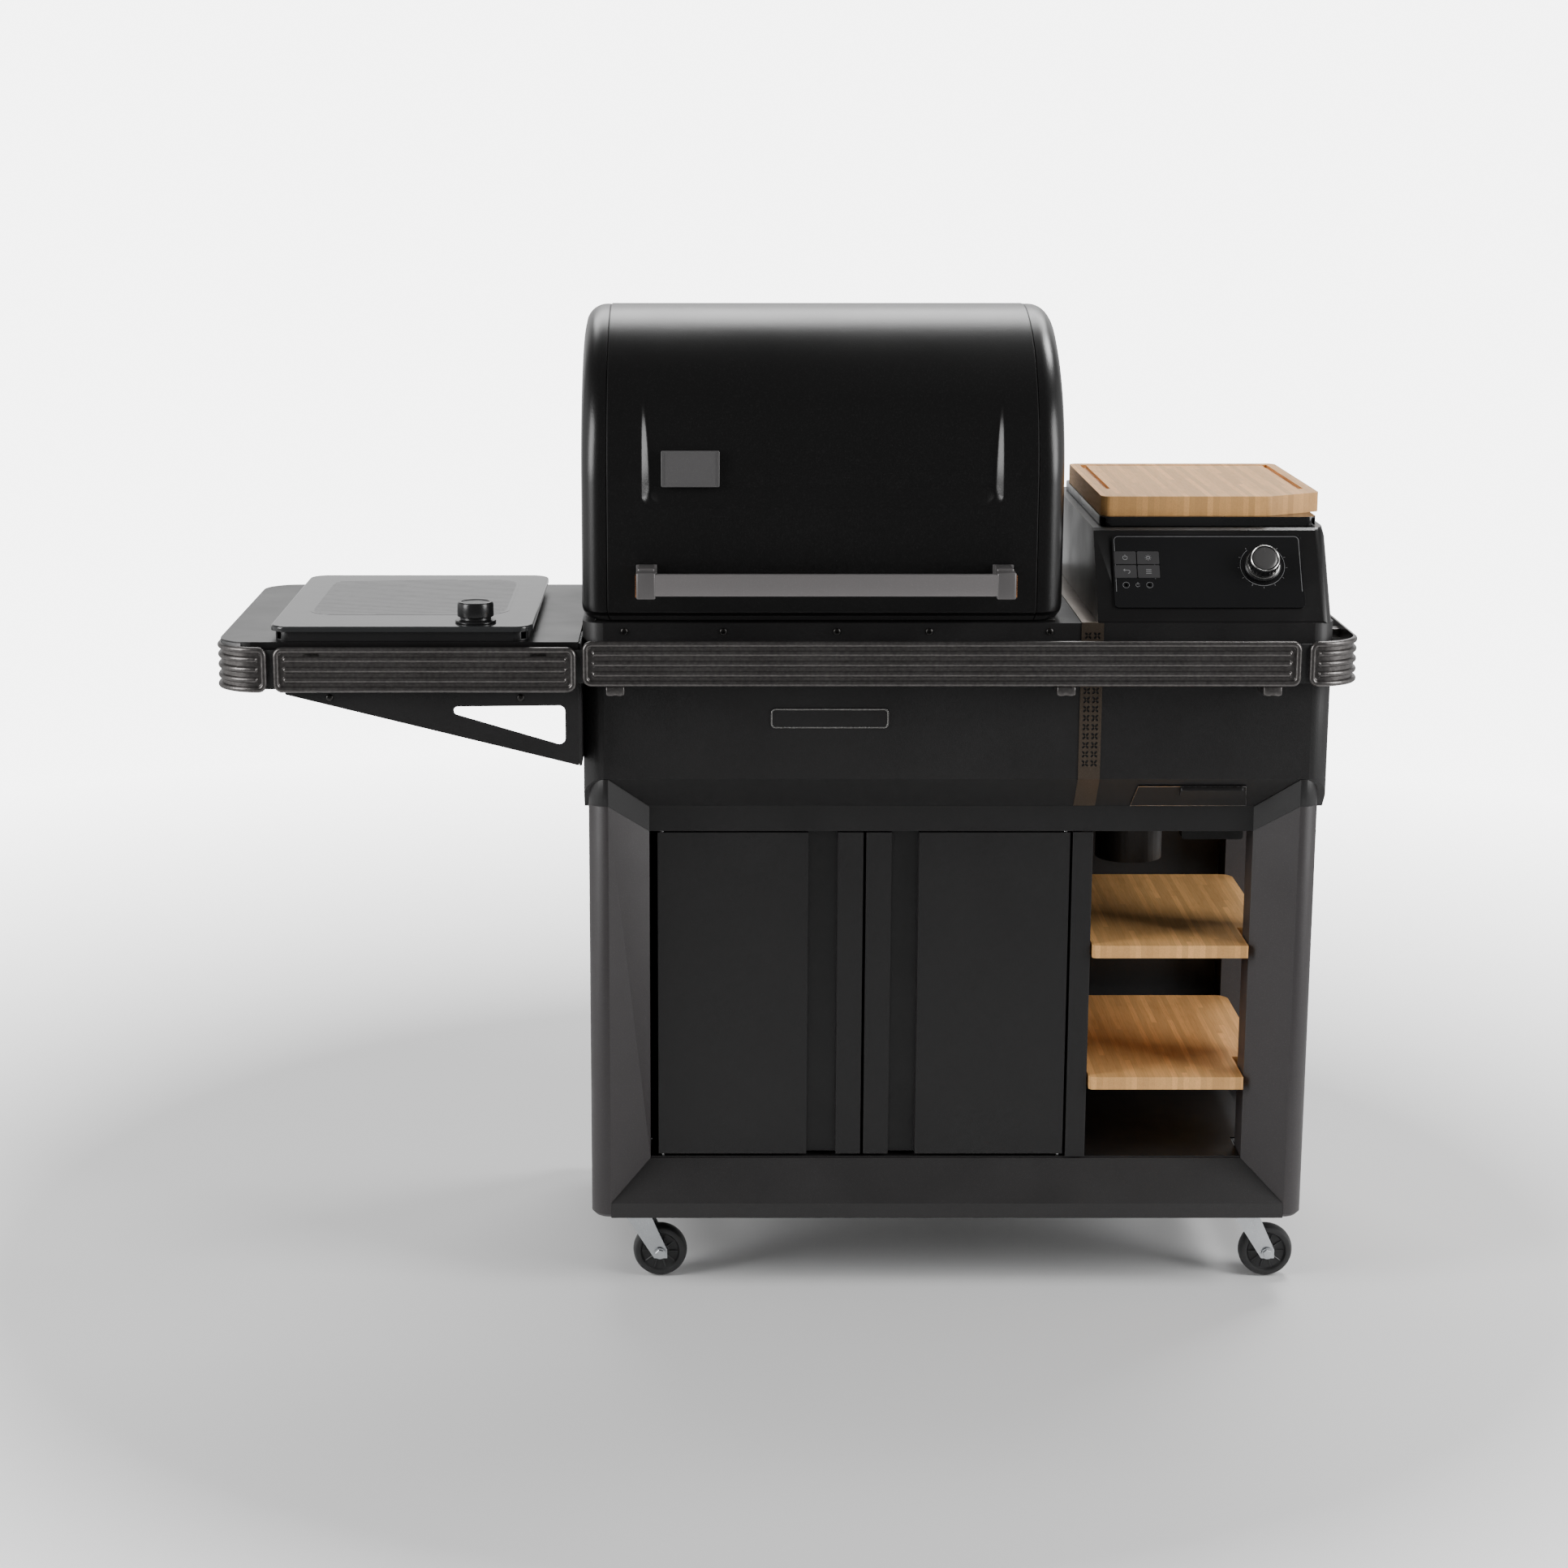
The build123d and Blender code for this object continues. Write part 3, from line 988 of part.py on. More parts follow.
with BuildPart() as shelf_bracket:
    inner_x = (BRACKET_X[0], BRACKET_X[1] - SHEET)
    skirt_z = SHELF_TOP - SHELF_SKIRT
    flange_z = (SHELF_TOP - SHEET - WEB_THICK, SHELF_TOP - SHEET)
    for web_y in WEB_Y:
        web_plane = Plane.XZ.offset(-web_y[1])
        corners = [(BRACKET_X[0], BRACKET_TOP - 5), (BRACKET_X[0], BRACKET_TOP)]
        corners += [(BRACKET_X[1], BRACKET_TOP), (BRACKET_X[1], BRACKET_LOW)]
        prism(web_plane, corners, WEB_THICK)
        prism(web_plane, BRACKET_HOLE, WEB_THICK, mode=Mode.SUBTRACT)
        span_box(BRACKET_X, web_y, (BRACKET_TOP, skirt_z))
        span_box(inner_x, web_y, (skirt_z, SHELF_TOP - SHEET))
        span_box(inner_x, (web_y[1], web_y[1] + 25), flange_z)
        span_box((BRACKET_X[1], BODY_X[0]), (web_y[0], web_y[1] + 90), (BRACKET_LOW, SHELF_TOP - SHEET))

with BuildPart() as cooktop_body:
    span_box(grow(GLASS_X, -COOK_RIM), grow(GLASS_Y, -COOK_RIM), (SHELF_TOP, GLASS_Z[0]))
    fillet(cooktop_body.edges().filter_by(Axis.Z), GLASS_CORNER - COOK_RIM)
    hollow_z = (SHELF_TOP + 2, GLASS_Z[0] - 2)
    span_box(grow(GLASS_X, -COOK_RIM - 3), grow(GLASS_Y, -COOK_RIM - 3), hollow_z, Mode.SUBTRACT)
    rod((*COOK_KNOB_AT, SHELF_TOP + 5), (0, 0, 1), COOK_SHAFT_R + FIT, 20, Mode.SUBTRACT)

with BuildPart() as cooktop_glass:
    span_box(GLASS_X, GLASS_Y, GLASS_Z)
    fillet(cooktop_glass.edges().filter_by(Axis.Z), GLASS_CORNER)
    fillet(cooktop_glass.faces().sort_by(Axis.Z)[-1].edges(), 3)
    with BuildSketch(Plane.XY.offset(GLASS_Z[1])):
        with Locations(((ZONE_X[0] + ZONE_X[1]) / 2, (ZONE_Y[0] + ZONE_Y[1]) / 2)):
            RectangleRounded(length(ZONE_X), length(ZONE_Y), ZONE_CORNER)
    extrude(amount=ZONE_PRINT)
    rod((*COOK_KNOB_AT, SHELF_TOP), (0, 0, 1), COOK_SHAFT_R + FIT, 30, Mode.SUBTRACT)

with BuildPart() as cooktop_knob:
    step_z = GLASS_Z[1] + GAP
    for step_r, step_high in COOK_KNOB_STEPS:
        rod((*COOK_KNOB_AT, step_z), (0, 0, 1), step_r, step_high)
        step_z += step_high
    fillet(cooktop_knob.edges().sort_by(Axis.Z)[-1], 3)
    rod((*COOK_KNOB_AT, GLASS_Z[0] - 6), (0, 0, 1), COOK_SHAFT_R, 16)


# ---------------------------------------------------------------- accessory rails
def rail_face(span_x, low):
    """Straight rail segment with a raised border and three ribs."""
    with BuildPart() as rail:
        middle = (sum(span_x) / 2, low + RAIL_H / 2)
        with BuildSketch(Plane.XZ.offset(-RAIL_Y - RAIL_THICK)):
            with Locations(middle):
                RectangleRounded(length(span_x), RAIL_H, RAIL_ROUND)
        extrude(amount=RAIL_THICK - RAIL_RIB)
        with BuildSketch(Plane.XZ.offset(-RAIL_Y - RAIL_RIB)):
            with Locations(middle):
                RectangleRounded(length(span_x), RAIL_H, RAIL_ROUND)
                inside = (length(span_x) - 2 * RAIL_BORDER, RAIL_H - 2 * RAIL_BORDER)
                RectangleRounded(*inside, RAIL_BORDER, mode=Mode.SUBTRACT)
                with GridLocations(1, RAIL_RIB_PITCH, 1, 3):
                    SlotOverall(length(span_x) - 26, 6)
        extrude(amount=RAIL_RIB)
    return rail.part


with BuildPart() as front_rail:
    add(rail_face(FRONT_RAIL_X, RAIL_LOW))
    for tab_x in FRONT_TABS_X:
        span_box(grow((tab_x, tab_x), TAB_HALF), (RAIL_Y + RAIL_THICK, BODY_Y[0]), (845, 861))

with BuildPart() as shelf_rail:
    add(rail_face(SHELF_RAIL_X, SHELF_RAIL_LOW))
    for tab_x in SHELF_TABS_X:
        tab_z = (SHELF_TOP - 25, SHELF_TOP - 9)
        span_box(grow((tab_x, tab_x), TAB_HALF), (RAIL_Y + RAIL_THICK, SHELF_Y[0]), tab_z)


def corner_rail(side, low, wall_x):
    """Rail that wraps round one front corner and runs back along the side."""
    half = WIDTH / 2
    with BuildPart() as rail:
        with BuildSketch(Plane.XY.offset(low)):
            RectangleRounded(2 * half, -2 * RAIL_Y, CORNER_RAIL_R)
            inner = (2 * (half - CORNER_WALL), -2 * (RAIL_Y + CORNER_WALL))
            RectangleRounded(*inner, CORNER_RAIL_R - CORNER_WALL, mode=Mode.SUBTRACT)
        extrude(amount=RAIL_H)
        kept_x = sorted((side * CORNER_RAIL_INNER, side * (half + 1)))
        span_box(kept_x, (RAIL_Y - 1, CORNER_RAIL_BACK), (low, low + RAIL_H), Mode.INTERSECT)
        for tab_y in CORNER_TABS_Y:
            span_box(sorted((wall_x, side * (half - CORNER_WALL))), (tab_y, tab_y + 22), (low + 42, low + 54))
    return rail.part


left_corner_rail = corner_rail(-1, SHELF_RAIL_LOW, SHELF_X[0])
right_corner_rail = corner_rail(1, RAIL_LOW, BODY_X[1])

# ---------------------------------------------------------------- fasteners
with BuildPart() as casing_screws:
    for screw_x in SCREWS_X:
        rod((screw_x, BODY_Y[0], SCREWS_Z), (0, -1, 0), SCREW_R, SCREW_HIGH)
    for screw_x in BRACKET_SCREWS_X:
        rod((screw_x, WEB_Y[0][0], BRACKET_SCREWS_Z), (0, -1, 0), SCREW_R, SCREW_HIGH)

with BuildPart() as hinge_pins:
    for hinge_x in (LEFT_DOOR_X[0] + HINGE_INSET, RIGHT_DOOR_X[1] - HINGE_INSET):
        rod((hinge_x, RECESS_Y + HINGE_INSET, SILL - 1), (0, 0, 1), DOOR_PIN_R, 18)
        rod((hinge_x, RECESS_Y + HINGE_INSET, DOOR_Z[1] - 12), (0, 0, 1), DOOR_PIN_R, 15)
    rod((-238, HOOD_HINGE_Y, HOOD_HINGE_Z), (1, 0, 0), HOOD_PIN_R, 570)
    rod((430, LID_HINGE_Y, LID_HINGE_Z), (1, 0, 0), LID_PIN_R, 264)

# ---------------------------------------------------------------- output
pieces = {
    "corner_legs": corner_legs.part,
    "lower_frame": lower_frame,
    "top_frame": top_frame.part,
    "cabinet_shell": cabinet_shell.part,
    "divider": divider.part,
    "bay_boards": bay_boards.part,
    "left_door": left_door,
    "right_door": right_door,
    "caster_plates": caster_plates.part,
    "chamber_casing": casing,
    "chamber_liner": chamber_liner.part,
    "cooking_grates": cooking_grates,
    "drip_tray": drip_tray.part,
    "fire_pot": fire_pot.part,
    "temperature_probe": temperature_probe.part,
    "auger_tube": auger_tube.part,
    "auger_screw": auger_screw.part,
    "auger_motor": auger_motor.part,
    "blower_housing": blower_housing.part,
    "fan_impeller": fan_impeller.part,
    "ash_keg": ash_keg.part,
    "controller_box": controller_box.part,
    "exhaust_duct": exhaust_duct.part,
    "power_inlet": power_inlet.part,
    "cleanout_door": cleanout_door.part,
    "hood_shell": hood_shell.part,
    "hood_handle": hood_handle.part,
    "handle_blocks": handle_blocks.part,
    "hood_badge": hood_badge.part,
    "nameplate": nameplate.part,
    "hopper_casing": hopper_casing.part,
    "hopper_bin": hopper_bin,
    "hopper_lid": hopper_lid.part,
    "cutting_board": cutting_board.part,
    "display_panel": display_panel.part,
    "control_knob": control_knob.part,
    "accent_strip": accent_strip.part,
    "side_shelf": side_shelf.part,
    "shelf_bracket": shelf_bracket.part,
    "cooktop_body": cooktop_body.part,
    "cooktop_glass": cooktop_glass.part,
    "cooktop_knob": cooktop_knob.part,
    "front_rail": front_rail.part,
    "shelf_rail": shelf_rail.part,
    "left_corner_rail": left_corner_rail,
    "right_corner_rail": right_corner_rail,
    "casing_screws": casing_screws.part,
    "hinge_pins": hinge_pins.part,
}
pieces.update(buttons)
pieces.update({f"caster_fork_{place}": fork for place, fork in caster_forks.items()})
pieces.update({f"caster_wheel_{place}": wheel for place, wheel in caster_wheels.items()})
for name, piece in pieces.items():
    piece.label = name
    export_step(piece, f"parts/{name}.step")
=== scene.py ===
import math

import bmesh
import bpy
from mathutils import Matrix, Vector


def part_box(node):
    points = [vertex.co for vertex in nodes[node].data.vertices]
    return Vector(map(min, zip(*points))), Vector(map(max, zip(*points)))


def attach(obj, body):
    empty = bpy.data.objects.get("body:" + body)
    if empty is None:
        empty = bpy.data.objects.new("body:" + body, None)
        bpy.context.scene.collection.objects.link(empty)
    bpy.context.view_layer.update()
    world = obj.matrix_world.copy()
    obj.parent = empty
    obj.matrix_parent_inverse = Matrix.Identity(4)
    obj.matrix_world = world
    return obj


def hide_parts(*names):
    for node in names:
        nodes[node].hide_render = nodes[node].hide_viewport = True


# Looks of the pellet smoker grill. Metres, +Z up, the front faces -Y.
MM = 0.001

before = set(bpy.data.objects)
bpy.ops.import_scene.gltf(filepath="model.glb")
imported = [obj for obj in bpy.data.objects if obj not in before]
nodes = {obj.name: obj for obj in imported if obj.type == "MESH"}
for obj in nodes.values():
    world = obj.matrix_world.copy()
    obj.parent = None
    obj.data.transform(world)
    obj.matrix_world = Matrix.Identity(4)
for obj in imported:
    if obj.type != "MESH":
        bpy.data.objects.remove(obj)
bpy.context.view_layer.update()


def span(node):
    """Lowest and highest corner of a CAD node."""
    low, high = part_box(node)
    return Vector(low), Vector(high)


# ---------------------------------------------------------------- mesh tools
def link(name, mesh):
    obj = bpy.data.objects.new(name, mesh)
    bpy.context.collection.objects.link(obj)
    return obj


def from_bmesh(name, bm, sharp=35):
    """Object from a bmesh, smooth shaded with edges sharper than the angle kept crisp."""
    bmesh.ops.recalc_face_normals(bm, faces=bm.faces[:])
    mesh = bpy.data.meshes.new(name)
    bm.to_mesh(mesh)
    bm.free()
    for face in mesh.polygons:
        face.use_smooth = True
    mesh.set_sharp_from_angle(angle=math.radians(sharp))
    return link(name, mesh)


def finish_piece(obj, material, body, slot, *replaced):
    """Gives a piece its material and the body it rides on, and hides the CAD nodes it stands for; the finish slot
    is not used.
    """
    obj.data.materials.clear()
    obj.data.materials.append(material)
    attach(obj, body)
    if replaced:
        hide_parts(*replaced)
    return obj


def add_block(bm, low, high, bevel=0.0, segments=2):
    """Box with rounded edges added to a bmesh."""
    low, high = Vector(low), Vector(high)
    verts = bmesh.ops.create_cube(bm, size=1.0)["verts"]
    bmesh.ops.scale(bm, vec=high - low, verts=verts)
    bmesh.ops.translate(bm, vec=(low + high) / 2, verts=verts)
    if bevel:
        edges = list({edge for vert in verts for edge in vert.link_edges})
        bmesh.ops.bevel(bm, geom=edges, offset=bevel, segments=segments, profile=0.5, affect="EDGES")


def around(centre, side, other, radius, count):
    """Points of a circle in the plane of two unit vectors."""
    angles = [2 * math.pi * step / count for step in range(count)]
    return [centre + (side * math.cos(angle) + other * math.sin(angle)) * radius for angle in angles]


def add_lathe(bm, profile, origin, axis, segments=48):
    """Turned shape: profile is a list of (radius, height) along the axis from the origin."""
    axis = Vector(axis).normalized()
    side = axis.orthogonal().normalized()
    other = axis.cross(side)
    origin = Vector(origin)
    rings = []
    for radius, height in profile:
        centre = origin + axis * height
        if radius <= 1e-7:
            rings.append([bm.verts.new(centre)])
        else:
            rings.append([bm.verts.new(point) for point in around(centre, side, other, radius, segments)])
    for first, second in zip(rings, rings[1:]):
        for step in range(segments):
            after = (step + 1) % segments
            if len(first) == 1 and len(second) == 1:
                continue
            if len(first) == 1:
                bm.faces.new((first[0], second[step], second[after]))
            elif len(second) == 1:
                bm.faces.new((first[step], second[0], first[after]))
            else:
                bm.faces.new((first[step], second[step], second[after], first[after]))


def pin(radius, length):
    """Lathe profile of a plain closed cylinder."""
    return [(0, 0), (radius, 0), (radius, length), (0, length)]


def round_over(radius, height, edge, steps=6):
    """Lathe profile points of a rounded rim, from its outside to its top."""
    angles = [math.pi / 2 * step / steps for step in range(1, steps + 1)]
    return [(radius + edge * math.cos(angle), height + edge * math.sin(angle)) for angle in angles]


def add_rod(bm, start, end, radius, sides=6):
    """Thin straight bar between two points."""
    along = (end - start).normalized()
    across = along.orthogonal().normalized()
    other = along.cross(across)
    first, second = [
        [bm.verts.new(point) for point in around(centre, across, other, radius, sides)] for centre in (start, end)]
    for step in range(sides):
        after = (step + 1) % sides
        bm.faces.new((first[step], first[after], second[after], second[step]))
    bm.faces.new(first[::-1])
    bm.faces.new(second)


def arc(centre, radius, start, end, steps=8):
    """Points of an arc in a plane, angles in degrees."""
    angles = [math.radians(start + (end - start) * step / steps) for step in range(steps + 1)]
    return [(centre[0] + radius * math.cos(a), centre[1] + radius * math.sin(a)) for a in angles]


def round_rectangle(low, high, radius, steps=8):
    """Closed outline of a rectangle with round corners, anticlockwise from the lower right."""
    (x0, y0), (x1, y1) = low, high
    points = arc((x1 - radius, y0 + radius), radius, -90, 0, steps)
    points += arc((x1 - radius, y1 - radius), radius, 0, 90, steps)
    points += arc((x0 + radius, y1 - radius), radius, 90, 180, steps)
    points += arc((x0 + radius, y0 + radius), radius, 180, 270, steps)
    return points


def add_plate(bm, outlines, thickness, matrix, bevel=0.0003):
    """Flat plate with holes: outlines in the local plane, centred on it in thickness, moved by a matrix."""
    curve = bpy.data.curves.new("outline", "CURVE")
    curve.dimensions = "2D"
    curve.fill_mode = "BOTH"
    curve.extrude = max(thickness / 2 - bevel, 0.0)
    curve.bevel_depth = bevel
    curve.bevel_resolution = 2
    curve.offset = -bevel
    for outline in outlines:
        spline = curve.splines.new("POLY")
        spline.points.add(len(outline) - 1)
        for point, (x, y) in zip(spline.points, outline):
            point.co = (x, y, 0, 1)
        spline.use_cyclic_u = True
    obj = link("outline", curve)
    bpy.context.view_layer.update()
    mesh = bpy.data.meshes.new_from_object(obj)
    bpy.data.objects.remove(obj)
    bpy.data.curves.remove(curve)
    mesh.transform(matrix)
    bm.from_mesh(mesh)
    bpy.data.meshes.remove(mesh)


def plane_matrix(origin, up, out):
    """Local x stays along X, local y goes up the plane and local z out of it."""
    return Matrix((
        (1, 0, out.x, origin.x), (0, up.y, out.y, origin.y), (0, up.z, out.z, origin.z), (0, 0, 0, 1)))


def facing_front(y):
    """Local x, y become world X, Z on an upright plane that faces the front."""
    return plane_matrix(Vector((0, y, 0)), Vector((0, 0, 1)), Vector((0, -1, 0)))


def smooth_step(low, high, value):
    share = min(max((value - low) / (high - low), 0.0), 1.0)
    return share * share * (3 - 2 * share)


def add_grid(bm, rows):
    """Quads over a grid of points."""
    grid = [[bm.verts.new(point) for point in row] for row in rows]
    for first, second in zip(grid, grid[1:]):
        for index in range(len(first) - 1):
            bm.faces.new((first[index], first[index + 1], second[index + 1], second[index]))
    return grid


def spread(start, end, step):
    """Even stations from start to end, no wider apart than step."""
    count = max(1, math.ceil(abs(end - start) / step - 1e-6))
    return [start + (end - start) * index / count for index in range(count + 1)]


def stations(*marks):
    """Stations through (start, end, step) stretches that follow each other."""
    values = []
    for start, end, step in marks:
        run = spread(start, end, step)
        values += run[1:] if values else run
    return values


# ---------------------------------------------------------------- materials
def feed(tree, value, socket):
    """Links a socket into another, or sets its value; a colour may be given as three numbers."""
    if isinstance(value, bpy.types.NodeSocket):
        tree.links.new(value, socket)
    elif isinstance(value, tuple):
        socket.default_value = (*value, 1)
    else:
        socket.default_value = value


class Finish:
    """Small builder around a Principled material."""

    def __init__(self, name):
        self.material = bpy.data.materials.new(name)
        self.material.use_nodes = True
        self.tree = self.material.node_tree
        self.surface = self.tree.nodes["Principled BSDF"]
        self.coords = self.tree.nodes.new("ShaderNodeTexCoord").outputs["Object"]

    def node(self, kind, **values):
        made = self.tree.nodes.new(kind)
        for key, value in values.items():
            if hasattr(made, key) and key not in made.inputs:
                setattr(made, key, value)
            else:
                made.inputs[key].default_value = value
        return made

    def join(self, source, target):
        self.tree.links.new(source, target)

    def noise(self, size, detail=3.0, stretch=(1, 1, 1), rough=0.5):
        """Noise whose features are about the given size in metres."""
        mapping = self.node("ShaderNodeMapping", Scale=stretch)
        self.join(self.coords, mapping.inputs["Vector"])
        made = self.node("ShaderNodeTexNoise", Scale=1.0 / size, Detail=detail, Roughness=rough)
        self.join(mapping.outputs["Vector"], made.inputs["Vector"])
        return made.outputs["Fac"]

    def cells(self, size):
        """Soft round cells of about the given size in metres."""
        made = self.node("ShaderNodeTexVoronoi", Scale=1.0 / size)
        made.feature = "SMOOTH_F1"
        self.join(self.coords, made.inputs["Vector"])
        return made.outputs["Distance"]

    def ramp(self, source, low, high, low_value, high_value):
        """Remaps a value range to another."""
        made = self.node("ShaderNodeMapRange")
        for socket, value in zip(made.inputs, (source, low, high, low_value, high_value)):
            feed(self.tree, value, socket)
        return made.outputs["Result"]

    def mix(self, share, first, second):
        """Colour between two; each is a tuple or a socket."""
        made = self.node("ShaderNodeMix")
        made.data_type = "RGBA"
        for index, value in ((0, share), (6, first), (7, second)):
            feed(self.tree, value, made.inputs[index])
        return made.outputs[2]

    def math(self, operation, first, second=0.0):
        made = self.node("ShaderNodeMath")
        made.operation = operation
        for socket, value in zip(made.inputs, (first, second)):
            feed(self.tree, value, socket)
        return made.outputs[0]

    def wear(self, radius, gain=4.0):
        """Share of edge wear: where the rounded normal leaves the true one."""
        bevel = self.node("ShaderNodeBevel", Radius=radius)
        bevel.samples = 4
        geometry = self.node("ShaderNodeNewGeometry")
        product = self.node("ShaderNodeVectorMath")
        product.operation = "DOT_PRODUCT"
        self.join(bevel.outputs[0], product.inputs[0])
        self.join(geometry.outputs["Normal"], product.inputs[1])
        lost = self.math("SUBTRACT", 1.0, product.outputs["Value"])
        gained = self.math("MULTIPLY", lost, gain)
        return self.math("MINIMUM", gained, 1.0)

    def bump(self, height, strength, distance):
        made = self.node("ShaderNodeBump", Strength=strength, Distance=distance)
        self.join(height, made.inputs["Height"])
        if self.surface.inputs["Normal"].links:
            self.join(self.surface.inputs["Normal"].links[0].from_socket, made.inputs["Normal"])
        self.join(made.outputs[0], self.surface.inputs["Normal"])

    def set(self, **values):
        for key, value in values.items():
            feed(self.tree, value, self.surface.inputs[key.replace("_", " ")])


def toned(colour, factor, add=0.0):
    """Colour made paler or darker."""
    return tuple(min(channel * factor + add, 1.0) for channel in colour)


def coated(name, colour, rough, grain, depth, metal=0.0, spread_rough=0.06, worn=0.25, lighter=1.8):
    """Sprayed or powder-coated metal: fine grain bump, uneven gloss and paler edges."""
    f = Finish(name)
    wide = f.noise(0.11, 3)
    fine = f.noise(grain, 2)
    edge = f.math("MULTIPLY", f.wear(0.0012), worn)
    pale = toned(colour, lighter, 0.01)
    tone = f.mix(f.ramp(wide, 0.3, 0.7, 0.0, 0.35), colour, toned(colour, 0.82))
    speck = f.mix(f.ramp(fine, 0.55, 0.75, 0.0, 0.5), tone, pale)
    f.set(Base_Color=f.mix(edge, speck, pale), Metallic=metal)
    f.set(Roughness=f.ramp(wide, 0.3, 0.7, rough - spread_rough, rough + spread_rough))
    f.bump(fine, depth, grain * 0.35)
    return f.material


hood_paint = coated(
    "hood_paint", (0.0052, 0.0050, 0.0051), 0.29, 0.0017, 0.16, worn=0.0, lighter=2.2, spread_rough=0.015)
body_paint = coated("body_paint", (0.0055, 0.0049, 0.0051), 0.50, 0.0011, 0.30, worn=0.12)
console_paint = coated("console_paint", (0.0062, 0.0058, 0.0059), 0.33, 0.0012, 0.18, worn=0.15)
base_paint = coated("base_paint", (0.018, 0.0168, 0.0170), 0.48, 0.0011, 0.30, worn=0.15)
frame_paint = coated("frame_paint", (0.034, 0.0300, 0.0310), 0.48, 0.0011, 0.32, worn=0.15)
door_paint = coated("door_paint", (0.0060, 0.0055, 0.0057), 0.48, 0.0010, 0.28, worn=0.12)
duct_paint = coated("duct_paint", (0.010, 0.0096, 0.0096), 0.52, 0.0011, 0.3)
black_plastic = coated("black_plastic", (0.012, 0.012, 0.0125), 0.42, 0.0007, 0.12, worn=0.15)
motor_paint = coated("motor_paint", (0.02, 0.02, 0.021), 0.4, 0.0008, 0.15)
knob_paint = coated("knob_paint", (0.011, 0.011, 0.0115), 0.26, 0.0006, 0.06, worn=0.15)
grate_paint = coated("grate_paint", (0.018, 0.018, 0.018), 0.33, 0.0009, 0.2)
# Near-black paint of the plates in the rail gaps: painted shade for the shaded depth behind them.
gap_shade = coated("gap_shade", (0.006, 0.006, 0.006), 0.6, 0.001, 0.2)


def metal(name, colour, rough, grain=0.0006, depth=0.05, stretch=(1, 1, 1), cloud=0.05):
    """Bare or thinly coated metal with a drawn or cast grain."""
    f = Finish(name)
    wide = f.noise(0.05, 4)
    fine = f.noise(grain, 3, stretch)
    tone = f.mix(f.ramp(wide, 0.3, 0.7, 0.0, 1.0), colour, toned(colour, 1 - cloud * 4))
    edge = f.math("MULTIPLY", f.wear(0.0009), 0.3)
    f.set(Base_Color=f.mix(edge, tone, toned(colour, 1.25)), Metallic=1.0)
    f.set(Roughness=f.ramp(fine, 0.3, 0.7, rough - 0.07, rough + 0.07))
    f.bump(fine, depth, grain * 0.4)
    return f.material


def hammered(name, colour, rough):
    """Silver-grey hammertone enamel: soft dimples of several sizes over a fine flake."""
    f = Finish(name)
    dimple = f.cells(0.0042)
    wide = f.noise(0.06, 3)
    fine = f.noise(0.0007, 2)
    pale = toned(colour, 1.45)
    tone = f.mix(f.ramp(dimple, 0.1, 0.75, 0.2, 0.7), pale, toned(colour, 0.55))
    speck = f.mix(f.ramp(fine, 0.55, 0.7, 0.0, 0.5), tone, pale)
    f.set(Base_Color=f.mix(f.math("MULTIPLY", f.wear(0.0015), 0.35), speck, pale), Metallic=0.85)
    f.set(Roughness=f.ramp(wide, 0.3, 0.7, rough - 0.05, rough + 0.06))
    f.bump(dimple, 0.22, 0.0006)
    f.bump(fine, 0.12, 0.0003)
    return f.material


rail_coat = hammered("rail_coat", (0.120, 0.113, 0.110), 0.33)
bronze = coated("bronze", (0.105, 0.082, 0.062), 0.42, 0.0009, 0.12, metal=0.75, worn=0.1)
copper_trim = metal("copper_trim", (0.62, 0.27, 0.12), 0.27)
handle_bar = coated(
    "handle_bar", (0.235, 0.222, 0.222), 0.40, 0.0009, 0.10, metal=0.45, worn=0.12, lighter=1.25, spread_rough=0.03)
cast_block = coated(
    "cast_block", (0.150, 0.143, 0.143), 0.42, 0.0010, 0.14, metal=0.45, worn=0.12, lighter=1.25)
badge_plate = coated(
    "badge_plate", (0.125, 0.122, 0.123), 0.40, 0.0008, 0.08, metal=0.3, worn=0.35, lighter=1.6)
cap_face = coated("cap_face", (0.120, 0.117, 0.116), 0.34, 0.0008, 0.06, metal=0.6, worn=0.1, lighter=1.2)
zinc = metal("zinc", (0.58, 0.60, 0.62), 0.33, 0.002, 0.05, cloud=0.04)
steel = metal("steel", (0.42, 0.42, 0.42), 0.30, 0.0012, 0.05)
stainless = metal("stainless", (0.36, 0.35, 0.34), 0.33, 0.0012, 0.06, (0.05, 1, 1))
black_screw = metal("black_screw", (0.06, 0.058, 0.056), 0.33)
bright_trim = metal("bright_trim", (0.66, 0.65, 0.63), 0.24)


def plain(name, colour, rough, grain=0.0005, depth=0.05, coat=0.0):
    """Moulded plastic, print or rubber with a faint grain."""
    f = Finish(name)
    wide = f.noise(0.03, 3)
    fine = f.noise(grain, 2)
    f.set(Base_Color=f.mix(f.ramp(wide, 0.3, 0.7, 0.0, 0.3), colour, toned(colour, 0.8)))
    f.set(Roughness=f.ramp(wide, 0.3, 0.7, rough * 0.85, rough * 1.15), Specular_IOR_Level=0.5)
    f.bump(fine, depth, grain * 0.4)
    if coat:
        f.set(Coat_Weight=coat, Coat_Roughness=0.06)
    return f.material


